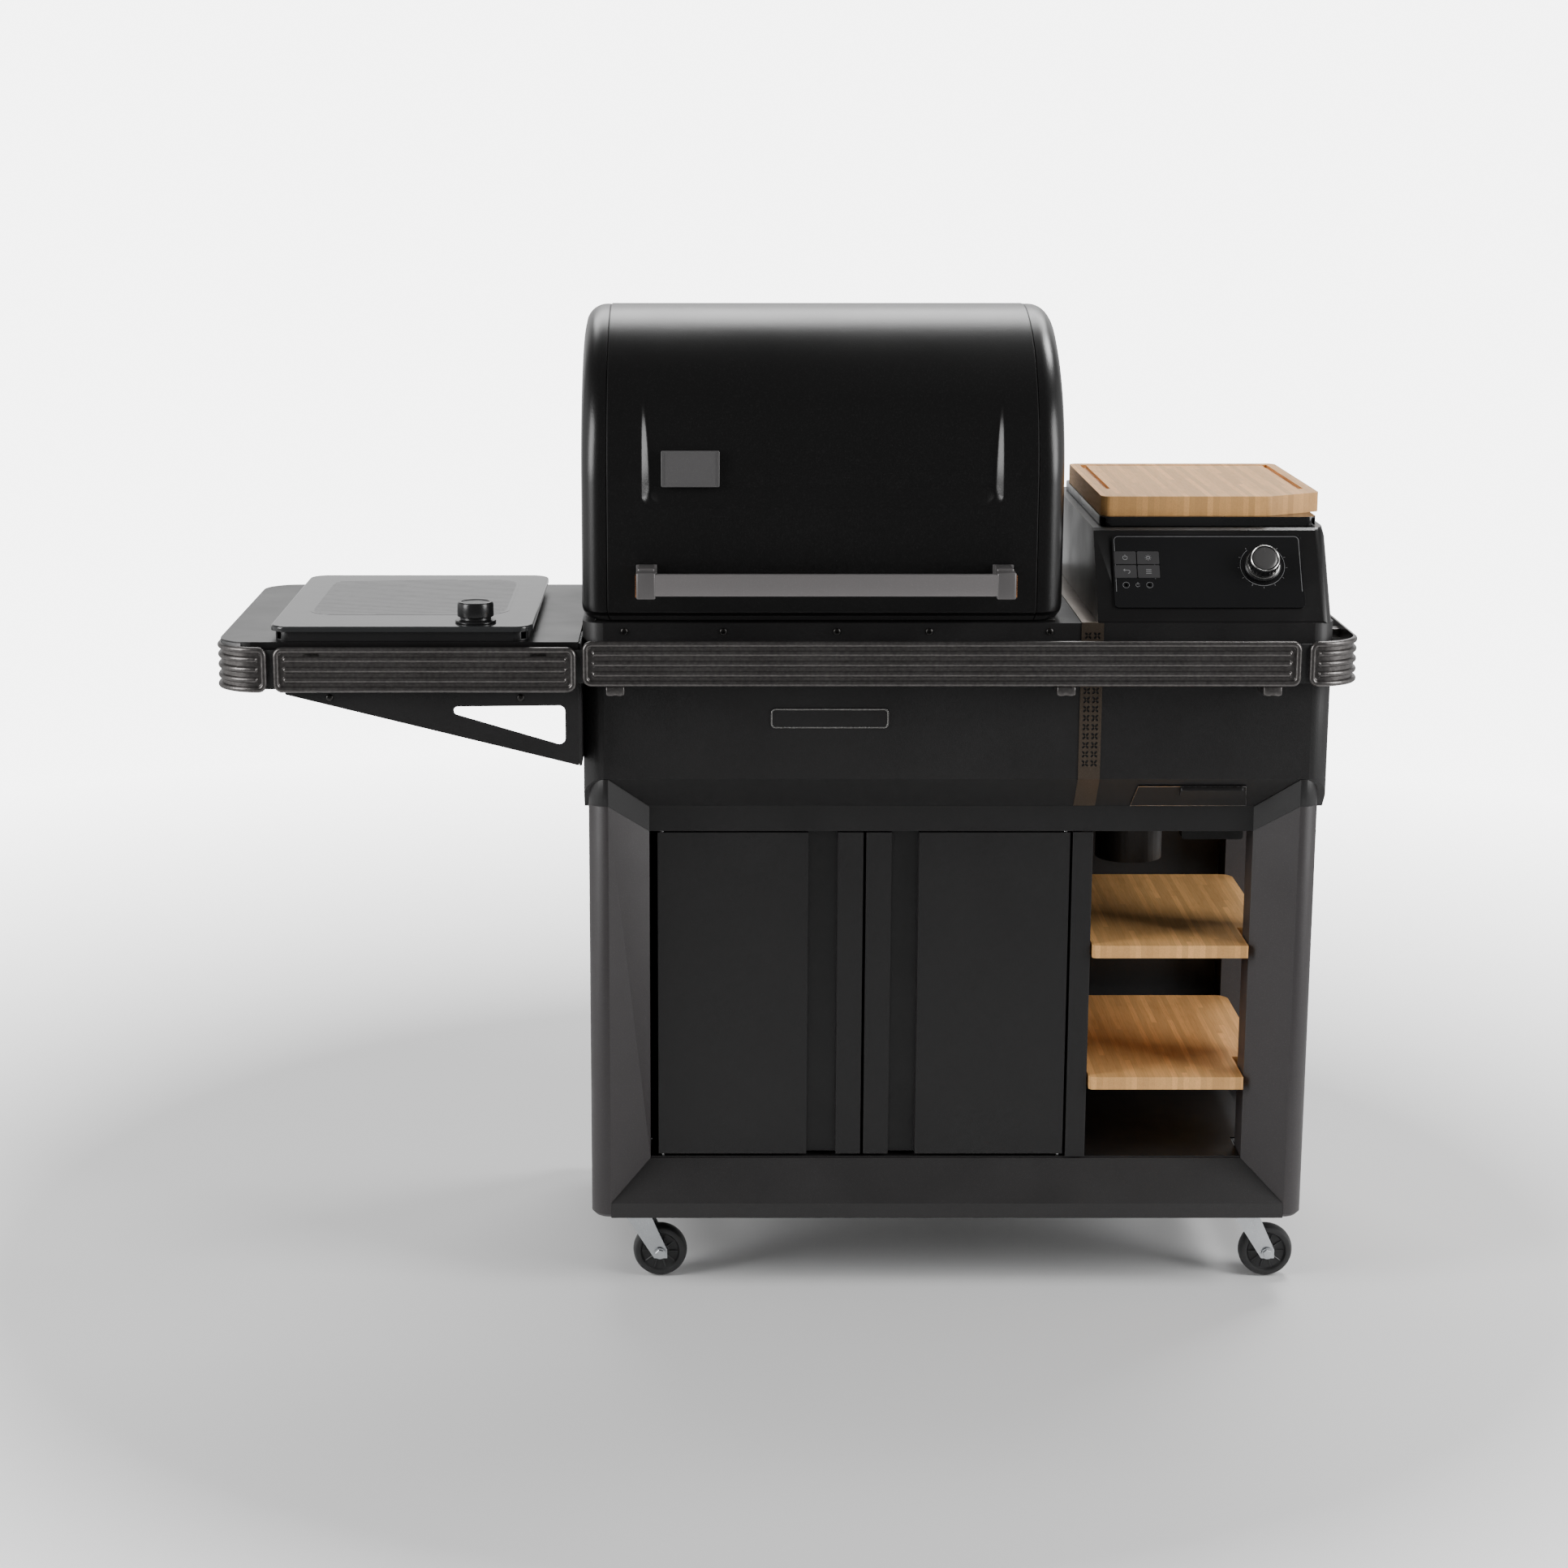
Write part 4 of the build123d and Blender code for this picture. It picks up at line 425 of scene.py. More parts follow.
rubber = plain("rubber", (0.018, 0.018, 0.0185), 0.55, 0.0012, 0.12)
hub_plastic = plain("hub_plastic", (0.028, 0.028, 0.029), 0.42)
gloss_panel = plain("gloss_panel", (0.008, 0.008, 0.0085), 0.10, 0.004, 0.01, coat=0.5)
key_face = plain("key_face", (0.042, 0.041, 0.042), 0.42, 0.0007, 0.06)
key_mark = plain("key_mark", (0.34, 0.34, 0.345), 0.5)
panel_mark = plain("panel_mark", (0.20, 0.20, 0.205), 0.45)
glass_top = plain("glass_top", (0.030, 0.031, 0.032), 0.13, 0.02, 0.006, coat=0.15)
glass_mark = plain("glass_mark", (0.020, 0.0205, 0.021), 0.42, 0.01, 0.006)


STRIP_WIDTH = 7.9 * MM
STRIP_LENGTH = 340 * MM
BAMBOO = (0.80, 0.44, 0.165)


def make_bamboo():
    """Laminated bamboo: strips glued side by side along X, with fibres, knots and butt joints along Y."""
    f = Finish("bamboo")
    split = f.node("ShaderNodeSeparateXYZ")
    f.join(f.coords, split.inputs[0])
    strips = f.math("DIVIDE", split.outputs["X"], STRIP_WIDTH)
    strip = f.math("FLOOR", strips)
    shift = f.node("ShaderNodeTexWhiteNoise", noise_dimensions="1D")
    f.join(strip, shift.inputs["W"])
    run = f.math("DIVIDE", split.outputs["Y"], STRIP_LENGTH)
    butt = f.math("FLOOR", f.math("ADD", run, f.math("MULTIPLY", shift.outputs["Value"], 7.0)))
    shade = f.node("ShaderNodeTexWhiteNoise", noise_dimensions="2D")
    joined = f.node("ShaderNodeCombineXYZ")
    f.join(strip, joined.inputs[0])
    f.join(butt, joined.inputs[1])
    f.join(joined.outputs[0], shade.inputs["Vector"])
    fibre = f.noise(0.0011, 5, (1, 0.03, 1), 0.6)
    knot = f.noise(0.02, 2, (1, 0.5, 1))
    brown = (BAMBOO[0] * 0.62, BAMBOO[1] * 0.52, BAMBOO[2] * 0.42)
    base = f.mix(shade.outputs["Value"], toned(BAMBOO, 0.80), toned(BAMBOO, 1.16))
    grain = f.mix(f.ramp(fibre, 0.42, 0.68, 0.0, 0.42), base, brown)
    cloud = f.mix(f.ramp(knot, 0.58, 0.72, 0.0, 0.22), grain, brown)
    glue = f.math("FRACT", strips)
    seam = f.math("MAXIMUM", f.ramp(glue, 0.0, 0.05, 1.0, 0.0), f.ramp(glue, 0.95, 1.0, 0.0, 1.0))
    f.set(Base_Color=f.mix(f.math("MULTIPLY", seam, 0.35), cloud, brown))
    f.set(Roughness=f.ramp(fibre, 0.3, 0.7, 0.52, 0.66), Specular_IOR_Level=0.35)
    f.bump(fibre, 0.16, 0.0004)
    return f.material


bamboo = make_bamboo()


# ---------------------------------------------------------------- CAD nodes that are kept
def keep(node, material, width=0.0):
    """Shows a CAD node itself, with its material and its sharp edges rounded by width."""
    obj = nodes[node]
    obj.data.materials.clear()
    obj.data.materials.append(material)
    if width:
        weld = obj.modifiers.new("weld", "WELD")
        weld.merge_threshold = 0.00001
        bevel = obj.modifiers.new("edges", "BEVEL")
        bevel.width = width
        bevel.segments = 2
        bevel.limit_method = "ANGLE"
        bevel.angle_limit = math.radians(40)
        bevel.harden_normals = True
        bevel.use_clamp_overlap = True


# Material, and the edge radius in millimetres, of each node that is shown as it is.
KEPT = {
    "corner_legs": (frame_paint, 1.6), "lower_frame": (base_paint, 1.6), "top_frame": (door_paint, 1.6),
    "cabinet_shell": (body_paint, 0), "divider": (body_paint, 0.8), "left_door": (door_paint, 2.2),
    "right_door": (door_paint, 2.2), "chamber_casing": (body_paint, 1.2), "chamber_liner": (stainless, 0.8),
    "cooking_grates": (grate_paint, 1.2), "drip_tray": (stainless, 0.5), "fire_pot": (stainless, 0.5),
    "temperature_probe": (steel, 0.3), "auger_tube": (stainless, 0), "auger_screw": (steel, 0),
    "auger_motor": (motor_paint, 1.5), "blower_housing": (motor_paint, 0.6), "fan_impeller": (steel, 0.3),
    "ash_keg": (body_paint, 0.4), "controller_box": (black_plastic, 1.2), "exhaust_duct": (duct_paint, 1.0),
    "power_inlet": (black_plastic, 0.5), "hopper_casing": (console_paint, 1.2), "hopper_bin": (stainless, 0.6),
    "hopper_lid": (knob_paint, 1.0), "display_panel": (gloss_panel, 0.4), "side_shelf": (console_paint, 3.0),
    "cooktop_body": (black_plastic, 1.2), "cooktop_glass": (glass_top, 0), "caster_plates": (zinc, 0.6),
    "cutting_board": (bamboo, 2.5), "bay_boards": (bamboo, 1.8), "hinge_pins": (steel, 0.3),
    "cleanout_door": (body_paint, 0.6),
}
for node, (material, edge_mm) in KEPT.items():
    keep(node, material, edge_mm * MM)
for number in (1, 2, 3, 4):
    keep(f"button_{number}", key_face, 0.4 * MM)


# ---------------------------------------------------------------- hood
HOOD_LOW, HOOD_HIGH = span("hood_shell")
HOOD_X = (HOOD_LOW.x, HOOD_HIGH.x)
HOOD_FRONT = HOOD_LOW.y
HOOD_BACK = HOOD_FRONT + 526 * MM
HOOD_MID = (HOOD_FRONT + HOOD_BACK) / 2
HOOD_HALF = (HOOD_BACK - HOOD_FRONT) / 2
HOOD_FOOT = 938 * MM
HOOD_SPRING = 1120 * MM
HOOD_CROWN = HOOD_HIGH.z
HOOD_ROUND = 28 * MM
SEAM_X = (-236 * MM, 326 * MM)
DISH_X = (-191 * MM, 281 * MM)
DISH_LOW = 1087 * MM
DISH_TOP = 1226 * MM
DISH_DEPTH = 7.5 * MM
DISH_FADE = 22 * MM
SEAM_REACH = 1.6 * MM
HEM_TOP = 957 * MM
HEM_ROUND = 12 * MM
TAB_X = (-220 * MM, 300 * MM)
TAB_LENGTH = 14 * MM
HINGE_Y = 268 * MM
HINGE_Z = 946 * MM
TAB_RADIUS = 8 * MM


def hood_profile():
    """Stations (y, z, outward y, outward z) from the front foot over the top to the rear foot."""
    heights = stations(
        (HOOD_FOOT, 0.9440, 0.0020), (0.9440, 0.9520, 0.0008), (0.9520, 0.9600, 0.0020),
        (0.9600, 1.0760, 0.0145), (1.0760, 1.1080, 0.0013), (1.1080, HOOD_SPRING, 0.0024),
    )
    front = [(HOOD_FRONT, z, -1.0, 0.0) for z in heights]
    arc = []
    steps = 84
    for step in range(1, steps):
        angle = math.pi * step / steps
        y = HOOD_MID - HOOD_HALF * math.cos(angle)
        z = HOOD_SPRING + (HOOD_CROWN - HOOD_SPRING) * math.sin(angle)
        normal = Vector((-math.cos(angle) / HOOD_HALF, math.sin(angle) / (HOOD_CROWN - HOOD_SPRING))).normalized()
        arc.append((y, z, normal.x, normal.y))
    back = [(HOOD_BACK, z, 1.0, 0.0) for z in reversed(heights)]
    return front + arc + back


def hood_inset(x):
    """How far the surface lies inside the profile near the rounded ends and past the cap seams."""
    far = min(x - HOOD_X[0], HOOD_X[1] - x)
    inset = 0.0
    if far < HOOD_ROUND:
        run = HOOD_ROUND - far
        inset = HOOD_ROUND - math.sqrt(max(HOOD_ROUND ** 2 - run ** 2, 0.0))
    past = max(SEAM_X[0] - x, x - SEAM_X[1])
    inset += 0.9 * MM * smooth_step(-0.2 * MM, 0.4 * MM, past)
    groove = min(abs(x - SEAM_X[0]), abs(x - SEAM_X[1]))
    inset += 1.0 * MM * (1 - smooth_step(0.2 * MM, 1.2 * MM, groove))
    return inset


def hood_dish(x, z):
    """Depth of the dished panel: narrow flat side walls, a long soft foot and a fade at the top."""
    share = min(max((z - DISH_LOW) / (DISH_TOP - DISH_LOW), 0.0), 1.0)
    depth = DISH_DEPTH * (1 - share ** 2.4)
    wall = 3.0 * MM + 8.0 * MM * depth / DISH_DEPTH
    flare = 15 * MM * (1 - smooth_step(0.0, 17 * MM, z - DISH_LOW)) ** 2
    inside_x = min(x - DISH_X[0], DISH_X[1] - x) - flare * 0.4
    side = min(max(inside_x / (wall + flare), 0.0), 1.0)
    side = 0.78 * side + 0.22 * side * side * (3 - 2 * side)
    foot = smooth_step(-2 * MM, 30 * MM, z - DISH_LOW)
    near = smooth_step(-2 * MM, 9 * MM, z - DISH_LOW)
    rim = 1 - smooth_step(0.0, wall * 2.2, inside_x)
    return depth * side * (foot + (near - foot) * rim)


def lip_inset(z):
    """Rolled hem along the hood's foot."""
    return 4.2 * MM * (1 - smooth_step(943.5 * MM, 949 * MM, z))


def hood_point(x, y, z, out_y, out_z, front):
    """Point of the hood's skin for a point of its profile, drawn in at the foot's corners."""
    drop = max(HEM_TOP - z, 0.0)
    shrink = HEM_ROUND - math.sqrt(max(HEM_ROUND ** 2 - min(drop * 0.62, HEM_ROUND) ** 2, 0.0))
    middle = (HOOD_X[0] + HOOD_X[1]) / 2
    half = (HOOD_X[1] - HOOD_X[0]) / 2
    far = abs(x - middle) / half
    moved = x - math.copysign(shrink * smooth_step(0.8, 1.0, far), x - middle)
    inset = hood_inset(x) + lip_inset(z)
    dish = hood_dish(x, z) if front else 0.0
    return (moved, y - out_y * inset + dish, z - out_z * inset - dish * 0.35 * max(out_z, 0.0))


def hood_columns():
    """Stations across the hood: dense at its rounded ends, its seams and the dish's side walls."""
    left, right = HOOD_X
    seam_in, seam_out = SEAM_X
    dish_in, dish_out = DISH_X
    return stations(
        (left, left + HOOD_ROUND, 0.0026), (left + HOOD_ROUND, seam_in - SEAM_REACH, 0.004),
        (seam_in - SEAM_REACH, seam_in + SEAM_REACH, 0.0004), (seam_in + SEAM_REACH, dish_in - 0.002, 0.012),
        (dish_in - 0.002, dish_in + DISH_FADE, 0.0012), (dish_in + DISH_FADE, dish_out - DISH_FADE, 0.022),
        (dish_out - DISH_FADE, dish_out + 0.002, 0.0012), (dish_out + 0.002, seam_out - SEAM_REACH, 0.012),
        (seam_out - SEAM_REACH, seam_out + SEAM_REACH, 0.0004),
        (seam_out + SEAM_REACH, right - HOOD_ROUND, 0.004), (right - HOOD_ROUND, right, 0.0026),
    )


def make_hood():
    """Hood skin with its end caps, given a thickness, and the two hinge tabs behind it."""
    profile = hood_profile()
    columns = hood_columns()
    bm = bmesh.new()
    rows = []
    for y, z, out_y, out_z in profile:
        front = y < HOOD_MID - 0.02
        rows.append([hood_point(x, y, z, out_y, out_z, front) for x in columns])
    grid = add_grid(bm, rows)
    last = len(profile) - 1
    for column in (0, -1):
        edge = [row[column] for row in grid]
        for low in range(len(edge) // 2 - 1):
            bm.faces.new((edge[low], edge[low + 1], edge[last - low - 1], edge[last - low]))
        if len(edge) % 2:
            peak = len(edge) // 2
            bm.faces.new((edge[peak - 1], edge[peak], edge[peak + 1]))
    bmesh.ops.recalc_face_normals(bm, faces=bm.faces[:])
    bmesh.ops.solidify(bm, geom=bm.faces[:], thickness=1.8 * MM)
    r, end = TAB_RADIUS, TAB_LENGTH
    barrel = [(0, 0), (r - 0.0005, 0), (r, 0.0005), (r, end - 0.0005), (r - 0.0005, end), (0, end)]
    for tab_x in TAB_X:
        low = (tab_x, HOOD_BACK - 0.001, HINGE_Z - 0.004)
        add_block(bm, low, (tab_x + TAB_LENGTH, HINGE_Y, HINGE_Z + 0.004), 0.0006)
        add_lathe(bm, barrel, (tab_x, HINGE_Y, HINGE_Z), (1, 0, 0), 32)
    return from_bmesh("hood_skin", bm, 32)


finish_piece(make_hood(), hood_paint, "hood", "hood_enamel", "hood_shell")


def make_handle():
    """Flat bar with rounded edges."""
    bm = bmesh.new()
    low, high = span("hood_handle")
    add_block(bm, low + Vector((0.001, 0.0006, 0)), high - Vector((0.001, 0, 0)), 0.0022, 3)
    return from_bmesh("handle_bar", bm)


HANDLE_BLOCK = 27.5 * MM
TRIM = 1.4 * MM


def make_handle_blocks():
    """Cast block at each end of the bar: a head, a neck and a foot plate on the hood."""
    bm = bmesh.new()
    low, high = span("handle_blocks")
    for start in (low.x, high.x - HANDLE_BLOCK):
        x0, x1 = start + 0.0012, start + HANDLE_BLOCK - 0.0012
        add_block(bm, (x0, low.y, low.z), (x1, low.y + 0.026, high.z - 0.003), 0.0026, 3)
        add_block(bm, (x0 + 0.0015, low.y + 0.020, low.z + 0.003), (x1 - 0.0015, high.y, high.z), 0.0022, 3)
        add_block(bm, (x0 - 0.001, high.y - 0.004, low.z + 0.001), (x1 + 0.001, high.y, high.z), 0.0008)
    return from_bmesh("handle_ends", bm)


def make_handle_trim():
    """Copper-coloured plates on the outer ends of the blocks."""
    bm = bmesh.new()
    low, high = span("handle_blocks")
    for x in (low.x, high.x - TRIM):
        add_block(bm, (x, low.y + 0.002, low.z + 0.003), (x + TRIM, low.y + 0.023, high.z - 0.006), 0.0004)
    return from_bmesh("handle_trim", bm)


finish_piece(make_handle(), handle_bar, "hood", "handle_metal", "hood_handle")
finish_piece(make_handle_blocks(), cast_block, "hood", "handle_cast", "handle_blocks")
finish_piece(make_handle_trim(), copper_trim, "hood", "accent_bronze")


BADGE_HALF = (38 * MM, 23.5 * MM)
BADGE_RIM = (34.5 * MM, 21.5 * MM)


def make_badge():
    """Blank badge with a raised line near its edge, leaning with the dish."""
    bm = bmesh.new()
    (half_x, half_z), (rim_x, rim_z) = BADGE_HALF, BADGE_RIM
    outline = round_rectangle((-half_x, -half_z), (half_x, half_z), 0.002, 4)
    add_plate(bm, [outline], 0.003, facing_front(0), 0.0006)
    line = 0.4 * MM
    for z in (rim_z, -rim_z):
        add_block(bm, (-rim_x, -0.0019, z - line), (rim_x, -0.0012, z + line))
    for x in (-rim_x, rim_x):
        add_block(bm, (x - line, -0.0019, -rim_z), (x + line, -0.0012, rim_z))
    low, high = span("hood_badge")
    middle = (low + high) / 2
    lean = math.atan2(DISH_DEPTH * 0.42, 0.05)
    turn = Matrix.Translation((middle.x, low.y + 0.0050, middle.z)) @ Matrix.Rotation(-lean, 4, "X")
    bmesh.ops.transform(bm, matrix=turn, verts=bm.verts[:])
    return from_bmesh("badge", bm)


finish_piece(make_badge(), badge_plate, "hood", "badge_metal", "hood_badge")


# ---------------------------------------------------------------- accessory rails
RAIL_H = 60 * MM
RAIL_ROUND = 12 * MM
RAIL_BACK = 1.4 * MM
BEAD = 4.0 * MM
RIB = 3.9 * MM
RIB_REACH = 12.5 * MM
RIB_PITCH = 13.5 * MM
EDGE_ZONE = 8.6 * MM        # finely divided border of a rail's mesh
END_ZONE = 22.5 * MM
END_SHIFT = 30 * MM


def rail_height(u, v, length):
    """Height of the rail's face over its panel: a bead along the outline and three round ribs."""
    du = min(u, length - u)
    dv = min(v, RAIL_H - v)
    inside = min(du, dv)
    if max(du, dv) < RAIL_ROUND:
        inside = RAIL_ROUND - math.hypot(RAIL_ROUND - du, RAIL_ROUND - dv)
    inside = max(inside, 0.0)
    height = 0.0
    if inside < 2 * BEAD:
        height = math.sqrt(max(BEAD ** 2 - (inside - BEAD) ** 2, 0.0))
    for centre in (-RIB_PITCH, 0.0, RIB_PITCH):
        away = math.hypot(v - (RAIL_H / 2 + centre), max(RIB_REACH + RIB - du, 0.0))
        if away < RIB:
            height = max(height, math.sqrt(RIB ** 2 - away ** 2) * 0.90)
    return height


def rail_columns(length, bend=None):
    """Stations along a rail: dense at its ends, and along the bend when it has one."""
    left = stations((0.0, EDGE_ZONE, 0.0006), (EDGE_ZONE, END_ZONE, 0.0009))
    right = [length - value for value in reversed(left)]
    if bend:
        middle = stations((left[-1], bend[0], 0.02), (bend[0], bend[1], 0.0035), (bend[1], right[0], 0.04))
    else:
        middle = stations((left[-1], right[0], 0.06))
    return left + middle[1:-1] + right


def rim_of(grid):
    """Outer ring of a grid of vertices, all the way round."""
    right = [row[-1] for row in grid[1:]]
    left = [row[0] for row in grid[-2:0:-1]]
    return grid[0] + right + grid[-1][-2::-1] + left


def make_rail(length, place, bend=None):
    """Closed rail solid: place(u, v, h) gives the point at height h over the panel."""
    edge_top = RAIL_H - EDGE_ZONE
    rows = stations((0.0, EDGE_ZONE, 0.0006), (EDGE_ZONE, edge_top, 0.00075), (edge_top, RAIL_H, 0.0006))
    columns = rail_columns(length, bend)
    bm = bmesh.new()
    front, back = [], []
    for v in rows:
        dv = min(v, RAIL_H - v)
        shrink = RAIL_ROUND - math.sqrt(max(RAIL_ROUND ** 2 - max(RAIL_ROUND - dv, 0.0) ** 2, 0.0))
        front_row, back_row = [], []
        for u in columns:
            pushed = shrink * max(1 - min(u, length - u) / END_SHIFT, 0.0)
            moved = u + pushed if u < length / 2 else u - pushed
            front_row.append(bm.verts.new(place(moved, v, rail_height(moved, v, length))))
            back_row.append(bm.verts.new(place(moved, v, -RAIL_BACK)))
        front.append(front_row)
        back.append(back_row)
    for grid, flip in ((front, False), (back, True)):
        for first, second in zip(grid, grid[1:]):
            for index in range(len(columns) - 1):
                loop = [first[index], first[index + 1], second[index + 1], second[index]]
                bm.faces.new(loop[::-1] if flip else loop)
    ring_front, ring_back = rim_of(front), rim_of(back)
    for index, vertex in enumerate(ring_front):
        after = (index + 1) % len(ring_front)
        bm.faces.new((vertex, ring_back[index], ring_back[after], ring_front[after]))
    return bm


def add_hook(bm, x, y_front, y_back, z):
    """Clamp under a rail: an arm back to the body with two rounded feet."""
    add_block(bm, (x - 0.012, y_front, z), (x + 0.012, y_back, z + 0.012), 0.0015)
    for side in (-1, 1):
        add_lathe(bm, [(0, 0), (0.0052, 0), (0.006, 0.0012), (0.006, 0.0085), (0, 0.0085)],
                  (x + side * 0.006, y_front + 0.006, z - 0.0005), (0, 0, 1), 20)


def straight_rail(node, hooks, hook_z):
    """Rail along the front, with clamps at the given places."""
    low, high = span(node)
    face = low.y
    floor = high.z - RAIL_H

    def place(u, v, height):
        return (low.x + u, face + BEAD - height, floor + v)

    bm = make_rail(high.x - low.x, place)
    for x in hooks:
        add_hook(bm, x, face + 0.004, high.y, hook_z)
    return from_bmesh(node + "_skin", bm, 50)


def bent_rail(node, side):
    """Corner rail: a short front run, a quarter bend and the run back along the side."""
    low, high = span(node)
    half = max(abs(low.x), abs(high.x))
    face = low.y
    floor = low.z
    bend_r = 60 * MM
    start = abs(high.x) if side < 0 else abs(low.x)
    first = half - bend_r - start
    quarter = bend_r * math.pi / 2
    back_y = 0.185
    last = back_y - (face + bend_r)
    length = first + quarter + last

    def place(u, v, height):
        drop = BEAD - height
        if u < first:
            x, y, nx, ny = start + u, face, 0.0, -1.0
        elif u < first + quarter:
            angle = (u - first) / bend_r
            nx, ny = math.sin(angle), -math.cos(angle)
            x = half - bend_r + bend_r * nx
            y = face + bend_r + bend_r * ny
        else:
            x, y, nx, ny = half, face + bend_r + (u - first - quarter), 1.0, 0.0
        return (side * (x - nx * drop), y - ny * drop, floor + v)

    bm = make_rail(length, place, (first, first + quarter))
    wall = 0.7195 if side > 0 else 0.745
    for y in (-0.180, 0.140):
        x0, x1 = sorted((side * wall, side * (half - 0.004)))
        add_block(bm, (x0, y, floor + 0.042), (x1, y + 0.022, floor + 0.054), 0.001)
    return from_bmesh(node + "_skin", bm, 50)


RAILS = {
    "front_rail": straight_rail("front_rail", (-0.225, 0.363, 0.632), 0.846),
    "shelf_rail": straight_rail("shelf_rail", (-0.620, -0.325), 0.892),
    "left_corner_rail": bent_rail("left_corner_rail", -1),
    "right_corner_rail": bent_rail("right_corner_rail", 1),
}
for node, rail in RAILS.items():
    finish_piece(rail, rail_coat, "cart", "rail_metal", node)


def make_rail_gap_shade():
    """Dark plates in the gaps between the rail segments: painted shade standing in for the shaded depth behind the
    gaps.
    """
    bm = bmesh.new()
    gaps = ((0.655, 0.692, 0.862, 0.914), (-0.284, -0.259, 0.862, 0.906), (-0.692, -0.657, 0.854, 0.906))
    for x0, x1, z0, z1 in gaps:
        add_block(bm, (x0, -0.3115, z0), (x1, -0.3085, z1), 0.0008)
    return from_bmesh("rail_gap_shade", bm)


finish_piece(make_rail_gap_shade(), gap_shade, "cart", "body_powder")


# ---------------------------------------------------------------- accent strip
HOLE_ROWS = 15
HOLE_LOW = 747.5 * MM
HOLE_PITCH = 12.2 * MM
HOLE_OUT = 5.8 * MM
PETAL = (3.3 * MM, 2.6 * MM, 1.6 * MM)
CREASE_Z = 726 * MM
DECK_Z = 935 * MM


def petal_outline(x, z, turn, steps=12):
    """Leaf-shaped hole that points away from the middle of its flower."""
    points = []
    middle, reach, width = PETAL
    for step in range(steps):
        angle = 2 * math.pi * step / steps
        along = middle + reach * math.cos(angle)
        across = width * math.sin(angle)
        points.append((x + along * math.cos(turn) - across * math.sin(turn),
                       z + along * math.sin(turn) + across * math.cos(turn)))
    return points


def make_strip():
    """Bronze strip up the body's front, bent under its foot and back over the deck."""
    low, high = span("accent_strip")
    bm = bmesh.new()
    left, right = low.x, high.x
    front = low.y
    crease, top = CREASE_Z, DECK_Z
    outlines = [[(left, crease), (right, crease), (right, top), (left, top)]]
    middle = (left + right) / 2
    turns = [math.pi / 4 + quarter * math.pi / 2 for quarter in range(4)]
    for row in range(HOLE_ROWS):
        z = HOLE_LOW + row * HOLE_PITCH
        for x in (middle - HOLE_OUT, middle + HOLE_OUT):
            outlines += [petal_outline(x, z, turn) for turn in turns]
    add_plate(bm, outlines, 0.0011, facing_front(front + 0.0006), 0.0001)
    y1, z1 = front + 0.0415, crease - 0.0455
    corners = ((left, front, crease), (right, front, crease), (right, y1, z1), (left, y1, z1))
    inner = [(x, y + 0.001, z + (0.0004 if z == z1 else 0.0)) for x, y, z in corners]
    verts = [bm.verts.new(point) for point in (*corners, *inner)]
    for face in ((0, 1, 2, 3), (4, 7, 6, 5), (0, 4, 5, 1), (1, 5, 6, 2), (2, 6, 7, 3), (3, 7, 4, 0)):
        bm.faces.new([verts[index] for index in face])
    add_block(bm, (left, front, top - 0.0002), (0.407, 0.240, top + 0.0011), 0.0004)
    return from_bmesh("bronze_strip", bm, 30)


finish_piece(make_strip(), bronze, "cart", "accent_bronze", "accent_strip")


# ---------------------------------------------------------------- fasteners
def add_dome_screw(bm, x, y, z, radius=0.0046, rise=0.0024):
    """Domed screw with a cross recess, facing the front."""
    rim = 0.5 * MM
    angles = [math.pi / 2 * step / 6 for step in range(1, 6)]
    dome = [(radius * math.cos(angle), rim + (rise - rim) * math.sin(angle)) for angle in angles]
    profile = [(radius, 0.0), (radius, rim), *dome, (0.0, rise)]
    add_lathe(bm, profile, (x, y, z), (0, -1, 0), 24)
    for size in ((0.0019, 0.00045), (0.00045, 0.0019)):
        add_block(bm, (x - size[0], y - rise - 0.00005, z - size[1]), (x + size[0], y - rise * 0.7, z + size[1]))


def make_screws():
    """Screws along the deck's front edge and on the shelf bracket."""
    bm = bmesh.new()
    body_front = span("chamber_casing")[0].y
    for x in (-0.214, -0.084, 0.065, 0.186, 0.344):
        add_dome_screw(bm, x, body_front, 0.924)
    for x in (-0.599, -0.349):
        add_dome_screw(bm, x, -0.300, 0.841)
    return from_bmesh("screws", bm, 40)


finish_piece(make_screws(), black_screw, "cart", "fastener_steel", "casing_screws")


def soft_polygon(points, radii, steps=6):
    """Closed outline with every corner rounded to its own radius."""
    outline = []
    count = len(points)
    for index, radius in enumerate(radii):
        corner = Vector(points[index])
        before = (Vector(points[(index - 1) % count]) - corner).normalized()
        after = (Vector(points[(index + 1) % count]) - corner).normalized()
        half = before.angle(after) / 2
        reach = radius / math.tan(half)
        centre = corner + (before + after).normalized() * radius / math.sin(half)
        start = corner + before * reach - centre
        turn = start.angle_signed(corner + after * reach - centre)
        for step in range(steps + 1):
            angle = -turn * step / steps
            outline.append((centre.x + start.x * math.cos(angle) - start.y * math.sin(angle),
                            centre.y + start.x * math.sin(angle) + start.y * math.cos(angle)))
    return outline


